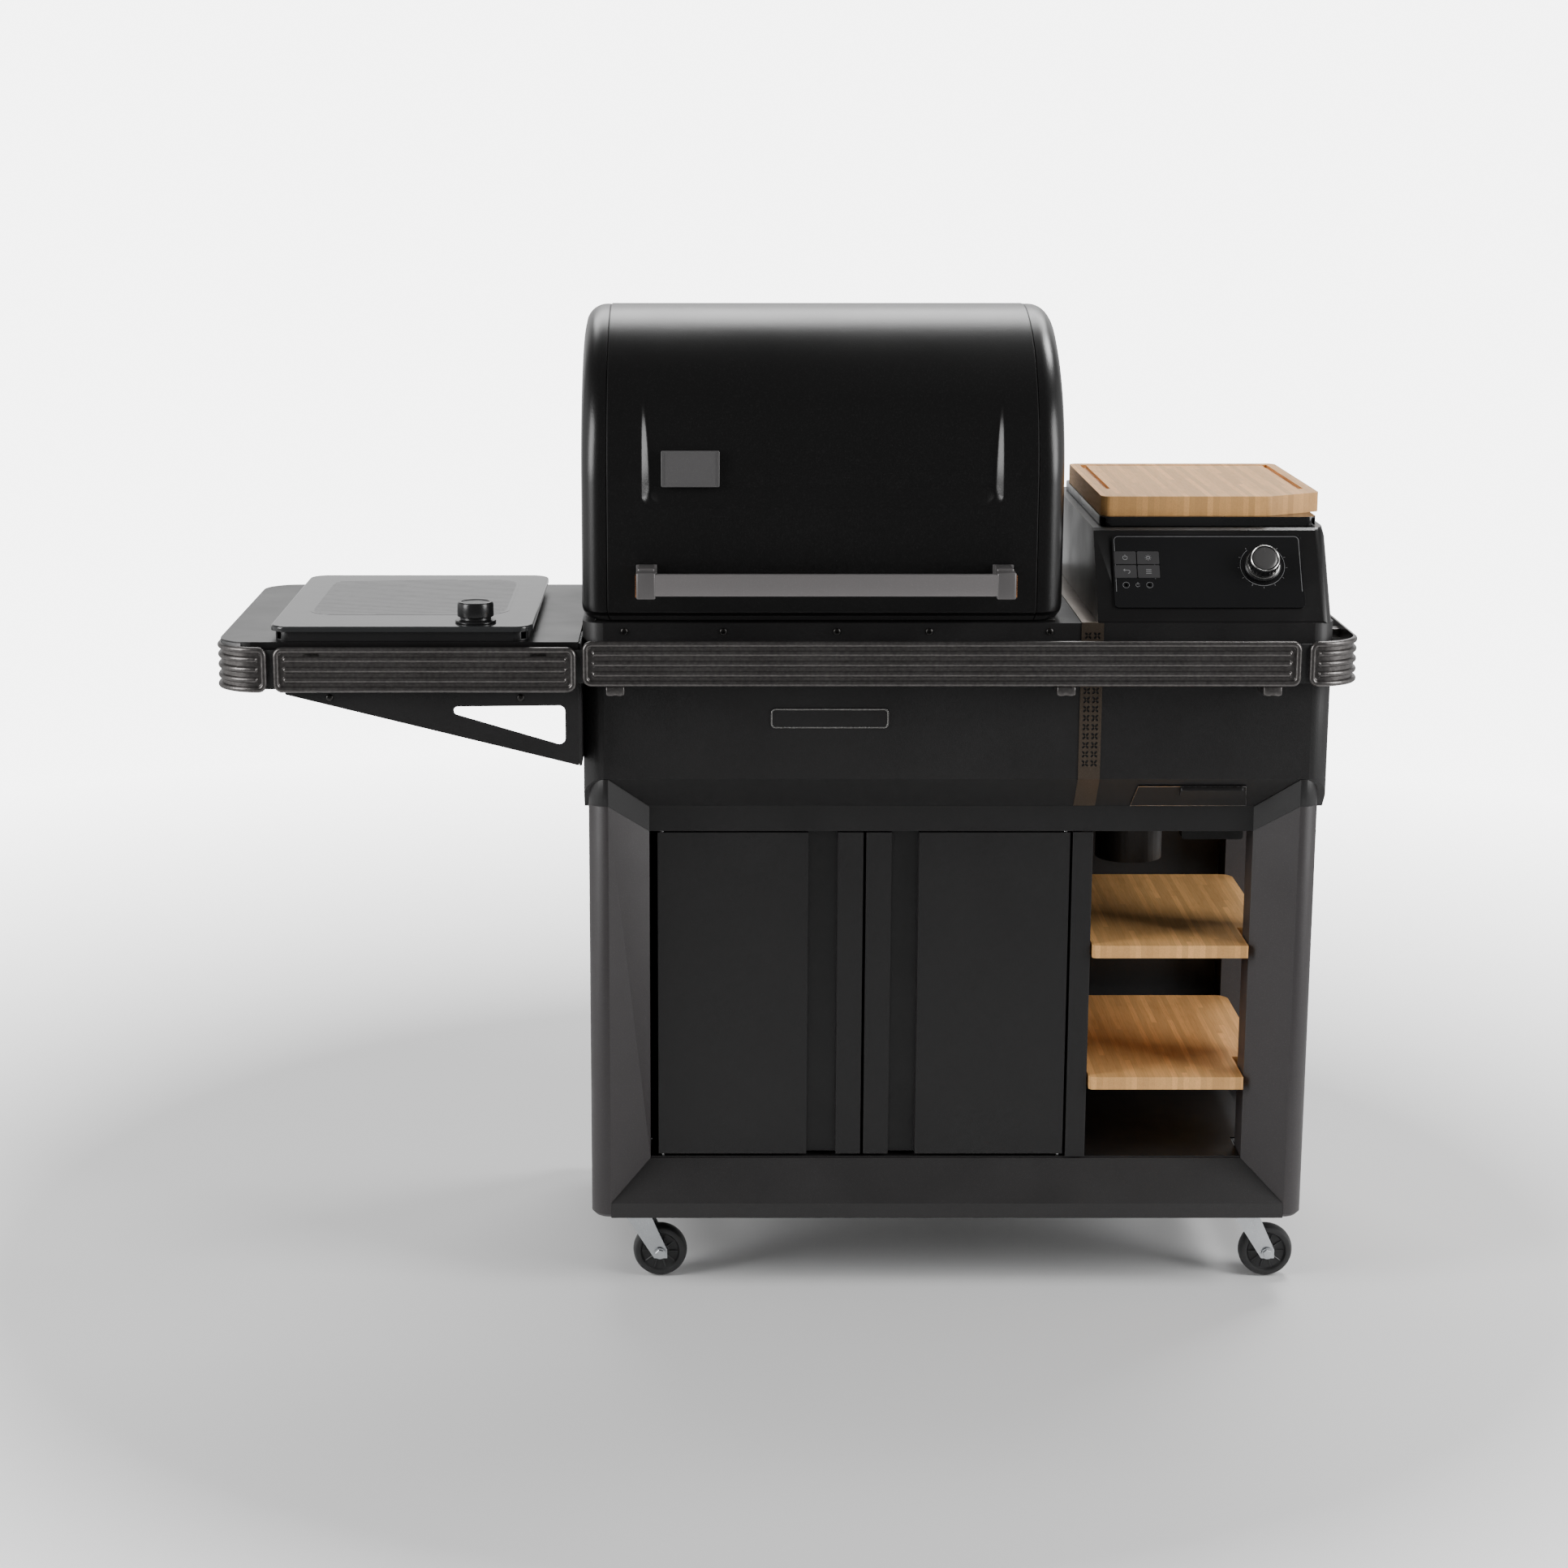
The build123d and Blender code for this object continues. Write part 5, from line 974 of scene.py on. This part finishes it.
def make_bracket():
    """Two gusset plates under the shelf with round-cornered openings and the flanges that hold them."""
    bm = bmesh.new()
    wall = span("chamber_casing")[0].x
    left, right, low, shelf_z = -0.657, -0.273, 0.750, 0.913
    flange_x = right - 0.0025
    corners = [(left, 0.845), (left, 0.885), (right, 0.885), (right, low)]
    gusset = soft_polygon(corners, [0.002] * 4, 3)
    opening = soft_polygon([(-0.468, 0.8285), (-0.291, 0.8305), (-0.291, 0.776)], [0.0055, 0.008, 0.008])
    for y0, y1 in ((-0.300, -0.297), (0.150, 0.153)):
        add_plate(bm, [gusset, opening], y1 - y0, facing_front((y0 + y1) / 2), 0.0005)
        add_block(bm, (left, y0, 0.8845), (flange_x, y1, shelf_z), 0.0004)
        add_block(bm, (left, y1, 0.910), (flange_x, y1 + 0.025, shelf_z), 0.0004)
        add_block(bm, (right, y0, low), (wall, y0 + 0.093, shelf_z), 0.0006)
    return from_bmesh("gussets", bm, 30)


finish_piece(make_bracket(), body_paint, "cart", "body_powder", "shelf_bracket")


def make_nameplate(name, thickness, y, hole=0.0):
    """Blank plate with round corners, or its bright frame when it has a hole that far from its edge."""
    low, high = span("nameplate")
    bm = bmesh.new()
    outlines = [round_rectangle((low.x, low.z), (high.x, high.z), 0.0058)]
    if hole:
        outlines.append(round_rectangle((low.x + hole, low.z + hole), (high.x - hole, high.z - hole), 0.0042))
    add_plate(bm, outlines, thickness, facing_front(y), 0.0002)
    return from_bmesh(name, bm, 30)


plate_low, plate_high = span("nameplate")
blank_plate = make_nameplate("blank_plate", 0.0012, plate_high.y - 0.0006)
blank_rim = make_nameplate("blank_plate_rim", 0.0010, plate_low.y + 0.0006, 1.7 * MM)
finish_piece(blank_plate, body_paint, "cart", "nameplate_metal", "nameplate")
finish_piece(blank_rim, bright_trim, "cart", "nameplate_metal")


# ---------------------------------------------------------------- knobs and display
CONSOLE_FOOT = Vector((0.0, -0.270, 0.9375))
CONSOLE_BROW = Vector((0.0, -0.197, 1.047))
slope = (CONSOLE_BROW - CONSOLE_FOOT).normalized()
panel_normal = Vector((0.0, -slope.z, slope.y))
PANEL_MID = Vector((0.555, 0.0, 0.9965))
PANEL_MID.y = CONSOLE_FOOT.y + (PANEL_MID.z - CONSOLE_FOOT.z) / (CONSOLE_BROW.z - CONSOLE_FOOT.z) * (
    CONSOLE_BROW.y - CONSOLE_FOOT.y)
PANEL_FACE = 3 * MM
KNOB_AT = (0.072, 0.0078)
KEYS_X = -0.0935
JACK_Y = -0.0205
FRAME_X = 0.122
FRAME_LOW = -0.030
FRAME_ROUND = 5.5 * MM


def on_panel(lift=0.0):
    """Local x, y on the display become world points; z is the height over its glass."""
    return plane_matrix(PANEL_MID + panel_normal * (PANEL_FACE + lift), slope, panel_normal)


def add_stroke(bm, points, width, lift=0.00012, closed=False, matrix=None):
    """Printed line: a thin flat ribbon through the points, on the display unless a matrix is given."""
    pts = [Vector((x, y, 0)) for x, y in points]
    count = len(pts)
    left, right = [], []
    rise = Vector((0, 0, lift))
    for index, point in enumerate(pts):
        before = pts[(index - 1) % count] if closed or index else point
        after = pts[(index + 1) % count] if closed or index < count - 1 else point
        along = (after - before).normalized()
        side = Vector((-along.y, along.x, 0)) * width / 2
        left.append(bm.verts.new(point + side + rise))
        right.append(bm.verts.new(point - side + rise))
    for index in range(count if closed else count - 1):
        after = (index + 1) % count
        bm.faces.new((right[index], right[after], left[after], left[index]))
    bmesh.ops.transform(bm, matrix=matrix or on_panel(), verts=left + right)


def ring(centre, radius, steps=24):
    """Points of a closed circle."""
    return arc(centre, radius, 0, 360, steps)[:-1]


def ray(centre, inner, outer, angle):
    """Two points on a line out of a centre."""
    return [(centre[0] + r * math.cos(angle), centre[1] + r * math.sin(angle)) for r in (inner, outer)]


def make_panel_print():
    """Light frame line round the screen and the small marks by the jacks."""
    bm = bmesh.new()
    corner_x, corner_y = FRAME_X - FRAME_ROUND, 0.0445
    frame_line = [(-FRAME_X, FRAME_LOW), *arc((-corner_x, corner_y), FRAME_ROUND, 180, 90, 6)]
    frame_line += [*arc((corner_x, corner_y), FRAME_ROUND, 90, 0, 6), (FRAME_X, FRAME_LOW)]
    add_stroke(bm, frame_line, 0.0007)
    add_stroke(bm, [(-0.070, 0.028), (-0.070, -0.012)], 0.0004)
    for x in (-0.109, -0.078):
        add_stroke(bm, ring((x, JACK_Y), 0.0042), 0.0005, closed=True)
    add_stroke(bm, arc((KEYS_X, JACK_Y), 0.0026, 20, 340, 16), 0.0005)
    add_stroke(bm, [(KEYS_X, JACK_Y), (KEYS_X, JACK_Y + 0.0040)], 0.0005)
    add_stroke(bm, arc(KNOB_AT, 0.0292, -230, 50, 40), 0.0007)
    for step in range(11):
        add_stroke(bm, ray(KNOB_AT, 0.0305, 0.0330, math.radians(-230 + 28 * step)), 0.0006)
    return from_bmesh("panel_print", bm)


finish_piece(make_panel_print(), panel_mark, "cart", "")

KEY_LIFT = 0.5 * MM
KEY_SPOTS = [(KEYS_X + side * 0.01525, 0.009 + row * 0.010) for row in (1, -1) for side in (-1, 1)]


def key_strokes(number, x, y):
    """Lines (points, width, closed) of a key's generic sign: power, light, back, list."""
    line = 0.6 * MM
    if number == 0:
        return [(arc((x, y), 0.0030, 120, 420, 20), line, False), ([(x, y + 0.0006), (x, y + 0.0042)], line, False)]
    if number == 1:
        rays = [(ray((x, y), 0.0030, 0.0042, math.pi / 4 * step), 0.0005, False) for step in range(8)]
        return [(ring((x, y), 0.0020), line, True), *rays]
    if number == 2:
        head = [(x - 0.0008, y + 0.0036), (x - 0.0028, y + 0.0020), (x - 0.0008, y + 0.0004)]
        hook = arc((x + 0.0032, y - 0.0004), 0.0024, 90, -90, 10)
        return [([(x + 0.0036, y + 0.0020), (x - 0.0020, y + 0.0020)], line, False), (head, line, False),
                (hook, line, False)]
    return [([(x - 0.0036, y + row), (x + 0.0036, y + row)], line, False) for row in (-0.0026, 0.0, 0.0026)]


def make_key_mark(number):
    """Sign printed on a key."""
    bm = bmesh.new()
    for points, width, closed in key_strokes(number, *KEY_SPOTS[number]):
        add_stroke(bm, points, width, closed=closed, matrix=on_panel(KEY_LIFT))
    return from_bmesh(f"key_mark_{number + 1}", bm)


for number in range(4):
    finish_piece(make_key_mark(number), key_mark, f"button_{number + 1}", "")

knob_centre = on_panel() @ Vector((*KNOB_AT, 0.0003))
COLLAR_R = 20.3 * MM
SHAFT_R = 4 * MM


def make_control_knob():
    """Stepped base ring, fluted collar and dished cap."""
    bm = bmesh.new()
    profile = [(0.0, 0.0), (0.0235, 0.0), (0.024, 0.0006), (0.024, 0.0032), (0.0233, 0.0044), (0.0222, 0.0050),
               (0.0212, 0.0053), (0.0205, 0.0062), (COLLAR_R, 0.0075), (COLLAR_R, 0.0078), (0.0196, 0.0200)]
    profile += round_over(0.0176, 0.0205, 0.0018)
    profile += [(0.0160, 0.0221), (0.0152, 0.0213), (0.0120, 0.0209), (0.0, 0.0206)]
    add_lathe(bm, profile, knob_centre, panel_normal, 72)
    add_lathe(bm, pin(SHAFT_R, 0.012), knob_centre - panel_normal * 0.0125, panel_normal, 24)
    for step in range(24):
        angle = 2 * math.pi * step / 24
        outward = Vector((math.cos(angle), 0, 0)) + slope * math.sin(angle)
        start = knob_centre + outward * COLLAR_R + panel_normal * 0.0082
        add_rod(bm, start, knob_centre + outward * 0.0197 + panel_normal * 0.0192, 0.0007)
    return from_bmesh("main_knob", bm, 32)


def make_knob_ring():
    """Bright ring at the collar's foot, bright edge round the cap and a pointer line."""
    bm = bmesh.new()
    foot = [(0.0209, 0.0052), (0.0221, 0.0052), (0.0221, 0.0058), (0.0209, 0.0061), (0.0209, 0.0052)]
    edge = [(0.0174, 0.0216), (0.0190, 0.0216), (0.0190, 0.0224), (0.0182, 0.0230), (0.0174, 0.0224)]
    add_lathe(bm, foot, knob_centre, panel_normal, 64)
    add_lathe(bm, [*edge, edge[0]], knob_centre, panel_normal, 64)
    start, end = [knob_centre + slope * r + panel_normal * h for r, h in ((0.0085, 0.0225), (0.0150, 0.0221))]
    add_rod(bm, start, end, 0.0005)
    return from_bmesh("knob_ring", bm, 40)


def make_knob_cap():
    """Domed grey face of the control knob."""
    bm = bmesh.new()
    profile = [(0.0, 0.0206), (0.0172, 0.0206), (0.0172, 0.0214), (0.0166, 0.0220), (0.0120, 0.0225), (0.0, 0.0228)]
    add_lathe(bm, profile, knob_centre, panel_normal, 64)
    return from_bmesh("knob_cap", bm, 40)


finish_piece(make_knob_cap(), cap_face, "control_knob", "")
finish_piece(make_control_knob(), knob_paint, "control_knob", "knob_dark", "control_knob")
finish_piece(make_knob_ring(), bright_trim, "control_knob", "")


def make_cooktop_knob():
    """Skirted knob with a waist, a dished top and a pointer line."""
    low, high = span("cooktop_knob")
    centre = Vector(((low.x + high.x) / 2, (low.y + high.y) / 2, 0.9353))
    bm = bmesh.new()
    profile = [(0.0, 0.0), (0.0265, 0.0), (0.027, 0.0006), (0.027, 0.0018), (0.0262, 0.0028), (0.0215, 0.0034),
               (0.0205, 0.0042), (0.0203, 0.0066), (0.0222, 0.0072), (0.0236, 0.0080), (0.024, 0.0092),
               (0.0236, 0.0240)]
    profile += round_over(0.0206, 0.0245, 0.0028)
    profile += [(0.0188, 0.0270), (0.0180, 0.0260), (0.0150, 0.0256), (0.0, 0.0254)]
    add_lathe(bm, profile, centre, (0, 0, 1), 72)
    add_lathe(bm, pin(0.003, 0.0135), centre - Vector((0, 0, 0.0133)), (0, 0, 1), 20)
    add_block(bm, centre + Vector((-0.0008, -0.0170, 0.0254)), centre + Vector((0.0008, -0.0080, 0.0262)), 0.0002)
    return from_bmesh("hob_knob", bm, 32)


finish_piece(make_cooktop_knob(), knob_paint, "cooktop_knob", "knob_dark", "cooktop_knob")

ZONE_LOW = Vector((-0.634, -0.201))
ZONE_HIGH = Vector((-0.375, 0.101))
ZONE_CORNER = 36 * MM
ZONE_TOP = 0.93526
ZONE_LINES = 34
ZONE_SLANT = 0.105
ZONE_STEPS = 160


def in_zone(x, y):
    """Whether a point lies inside the zone's rounded rectangle."""
    dx = min(x - ZONE_LOW.x, ZONE_HIGH.x - x)
    dy = min(y - ZONE_LOW.y, ZONE_HIGH.y - y)
    if min(dx, dy) < 0:
        return False
    return max(dx, dy) >= ZONE_CORNER or math.hypot(ZONE_CORNER - dx, ZONE_CORNER - dy) <= ZONE_CORNER


def make_zone_print():
    """Slanted fine lines that mark the cooking zone on the glass, inside a rounded outline."""
    bm = bmesh.new()
    middle = (ZONE_LOW.x + ZONE_HIGH.x) / 2
    width, depth = ZONE_HIGH - ZONE_LOW
    for index in range(ZONE_LINES):
        offset = ZONE_LOW.y + depth * (index + 0.5) / ZONE_LINES
        xs = [ZONE_LOW.x + width * step / ZONE_STEPS for step in range(ZONE_STEPS + 1)]
        line = [(x, offset + ZONE_SLANT * (x - middle)) for x in xs]
        inside = [point for point in line if in_zone(*point)]
        if len(inside) > 1:
            add_stroke(bm, [inside[0], inside[-1]], 0.0024, 0.0, matrix=Matrix.Translation((0, 0, ZONE_TOP)))
    return from_bmesh("zone_lines", bm)


finish_piece(make_zone_print(), glass_mark, "cart", "cooktop_ceramic")


# ---------------------------------------------------------------- casters
def make_caster_wheel(place):
    """Tyre with a crowned tread and side walls, and the stepped hub inside it."""
    low, high = span(f"caster_wheel_{place}")
    centre = (low + high) / 2
    bm = bmesh.new()
    r = (high.z - low.z) / 2
    for side in (-1, 1):
        tread = [(r - 0.0034 * share ** 2, 0.0122 * share) for share in (0.0, 0.25, 0.5, 0.75, 1.0)]
        tread += [(r - 0.0048, 0.0129), (r - 0.0085, 0.0130), (0.0272, 0.0122), (0.0262, 0.0104), (0.0250, 0.0088),
                  (0.0185, 0.0080), (0.0128, 0.0082), (0.0112, 0.0096), (0.0100, 0.0138), (0.0045, 0.0138)]
        add_lathe(bm, tread, centre, (0, side, 0), 64)
    bmesh.ops.remove_doubles(bm, verts=bm.verts[:], dist=1e-6)
    return from_bmesh(f"tyre_{place}", bm, 30)


def make_caster_hub(place):
    """Ribs on both faces of the hub."""
    low, high = span(f"caster_wheel_{place}")
    centre = (low + high) / 2
    bm = bmesh.new()
    for side in (-1, 1):
        face = centre + Vector((0, side * 0.0088, 0))
        for step in range(10):
            angle = 2 * math.pi * step / 10
            along = Vector((math.cos(angle), 0, math.sin(angle)))
            add_rod(bm, face + along * 0.0108, face + along * 0.0256, 0.0010)
    return from_bmesh(f"hub_{place}", bm, 30)


def make_caster_bolt(place):
    """Hexagon heads and washers at both ends of the axle."""
    low, high = span(f"caster_fork_{place}")
    wheel_low, wheel_high = span(f"caster_wheel_{place}")
    centre = (wheel_low + wheel_high) / 2
    washer = [(0, 0), (0.0078, 0), (0.0080, 0.0003), (0.0080, 0.0009), (0, 0.0009)]
    head = [(0, 0.0009), (0.0066, 0.0009), (0.0066, 0.0028), (0.0058, 0.0033), (0, 0.0033)]
    bm = bmesh.new()
    for side, reach in ((-1, low.y), (1, high.y)):
        start = centre + Vector((0, side * (abs(reach - centre.y) - 0.0034), 0))
        for profile, segments in ((washer, 28), (head, 6)):
            add_lathe(bm, profile, start, (0, side, 0), segments)
    return from_bmesh(f"axle_bolt_{place}", bm, 30)


for place in ("front_left", "front_right", "rear_left", "rear_right"):
    keep(f"caster_fork_{place}", zinc, 0.7 * MM)
    finish_piece(make_caster_wheel(place), rubber, f"wheel_{place}", "wheel_black", f"caster_wheel_{place}")
    finish_piece(make_caster_hub(place), hub_plastic, f"wheel_{place}", "wheel_black")
    finish_piece(make_caster_bolt(place), zinc, f"caster_{place}", "zinc")


def make_cleanout_trim():
    """Bright hem round the clean-out door, on the body's sloped underside."""
    low, high = span("cleanout_door")
    up = -Vector((0.0, 42.0, -46.0)).normalized()
    out = Vector((0.0, -46.0, -42.0)).normalized()
    middle = Vector(((low.x + high.x) / 2, -0.251, 0.703)) + out * 0.0022
    bm = bmesh.new()
    hem = [(-0.0715, 0.0165), (0.0715, 0.0165), (0.0775, -0.0275), (-0.0775, -0.0275)]
    add_stroke(bm, hem, 0.0012, 0.0001, closed=True, matrix=plane_matrix(middle, up, out))
    return from_bmesh("cleanout_hem", bm)


finish_piece(make_cleanout_trim(), bright_trim, "cleanout_door", "")


# ---------------------------------------------------------------- stage, lights and camera
def make_floor():
    """Pale floor that fades into the backdrop away from the object."""
    f = Finish("floor_finish")
    f.set(Base_Color=(0.90, 0.90, 0.90), Roughness=0.9, Specular_IOR_Level=0.1)
    away = f.node("ShaderNodeVectorMath")
    away.operation = "LENGTH"
    f.join(f.coords, away.inputs[0])
    clear = f.node("ShaderNodeBsdfTransparent")
    blend = f.node("ShaderNodeMixShader")
    f.join(f.ramp(away.outputs["Value"], 1.1, 3.4, 0.0, 1.0), blend.inputs[0])
    f.join(f.surface.outputs[0], blend.inputs[1])
    f.join(clear.outputs[0], blend.inputs[2])
    f.join(blend.outputs[0], f.tree.nodes["Material Output"].inputs["Surface"])
    bpy.ops.mesh.primitive_plane_add(size=24, location=(0, 0, 0))
    floor = bpy.context.object
    floor.name = "floor"
    floor.data.materials.append(f.material)


def make_light(name, at, toward, size, power):
    """Rectangular lamp that looks towards a point."""
    data = bpy.data.lights.new(name, "AREA")
    data.shape = "RECTANGLE"
    data.size, data.size_y = size
    data.energy = power
    lamp = bpy.data.objects.new(name, data)
    lamp.location = at
    lamp.rotation_euler = (Vector(toward) - Vector(at)).to_track_quat("-Z", "Y").to_euler()
    bpy.context.collection.objects.link(lamp)


BACKDROP = 6.0


def make_world():
    """Pale backdrop; reflections see a bright wall behind and at the sides and a dim studio in front and above."""
    world = bpy.data.worlds.new("studio")
    bpy.context.scene.world = world
    world.use_nodes = True
    tree = world.node_tree
    tree.nodes.clear()

    def add(kind, **values):
        made = tree.nodes.new(kind)
        for key, value in values.items():
            setattr(made, key, value)
        return made

    coords = add("ShaderNodeTexCoord")
    split = add("ShaderNodeSeparateXYZ")
    tree.links.new(coords.outputs["Generated"], split.inputs[0])

    def ramp(source, low, high, low_value, high_value):
        made = add("ShaderNodeMapRange", interpolation_type="SMOOTHSTEP")
        for socket, value in zip(made.inputs, (source, low, high, low_value, high_value)):
            feed(tree, value, socket)
        return made.outputs["Result"]

    def mix(operation, first, second):
        made = add("ShaderNodeMath", operation=operation)
        for socket, value in zip(made.inputs, (first, second)):
            feed(tree, value, socket)
        return made.outputs[0]

    behind = ramp(split.outputs["Y"], 0.58, 0.92, 0.0, 1.0)
    aside = mix("MULTIPLY", ramp(mix("ABSOLUTE", split.outputs["X"], 0.0), 0.62, 0.92, 0.0, 1.0), 0.85)
    level = ramp(split.outputs["Z"], 0.30, 0.62, 1.0, 0.16)
    bright = mix("MULTIPLY", mix("MAXIMUM", behind, aside), level)
    seen = mix("ADD", mix("MULTIPLY", bright, 0.95), 0.11)
    studio = add("ShaderNodeBackground")
    backdrop = add("ShaderNodeBackground")
    blend = add("ShaderNodeMixShader")
    output = add("ShaderNodeOutputWorld")
    white = (1.0, 1.0, 1.0)
    for value, socket in (
        (white, studio.inputs["Color"]), (seen, studio.inputs["Strength"]),
        (white, backdrop.inputs["Color"]), (BACKDROP, backdrop.inputs["Strength"]),
        (add("ShaderNodeLightPath").outputs["Is Camera Ray"], blend.inputs[0]),
        (studio.outputs[0], blend.inputs[1]), (backdrop.outputs[0], blend.inputs[2]),
        (blend.outputs[0], output.inputs["Surface"]),
    ):
        feed(tree, value, socket)


def make_camera():
    """Camera at the height and distance that give the object's own perspective."""
    data = bpy.data.cameras.new("camera")
    data.sensor_width = 36
    data.lens = 70.246
    data.shift_x = 0.0476
    data.clip_end = 60
    camera = bpy.data.objects.new("camera", data)
    camera.location = (-0.10225, -4.23008, 1.59687)
    camera.rotation_euler = (math.radians(77.497), 0, 0)
    bpy.context.collection.objects.link(camera)
    bpy.context.scene.camera = camera


make_floor()
make_world()
make_light("high_back", (0.1, 2.9, 3.4), (0, 0, 0.9), (3.6, 1.4), 95)
make_light("side_left", (-3.3, -1.7, 2.1), (0, 0, 0.8), (1.5, 2.6), 115)
make_light("side_right", (3.3, -1.7, 2.1), (0, 0, 0.8), (1.5, 2.6), 115)
make_light("board_spot", (1.5, 0.9, 3.0), (0.57, 0.0, 1.0), (0.7, 0.7), 34)
make_camera()
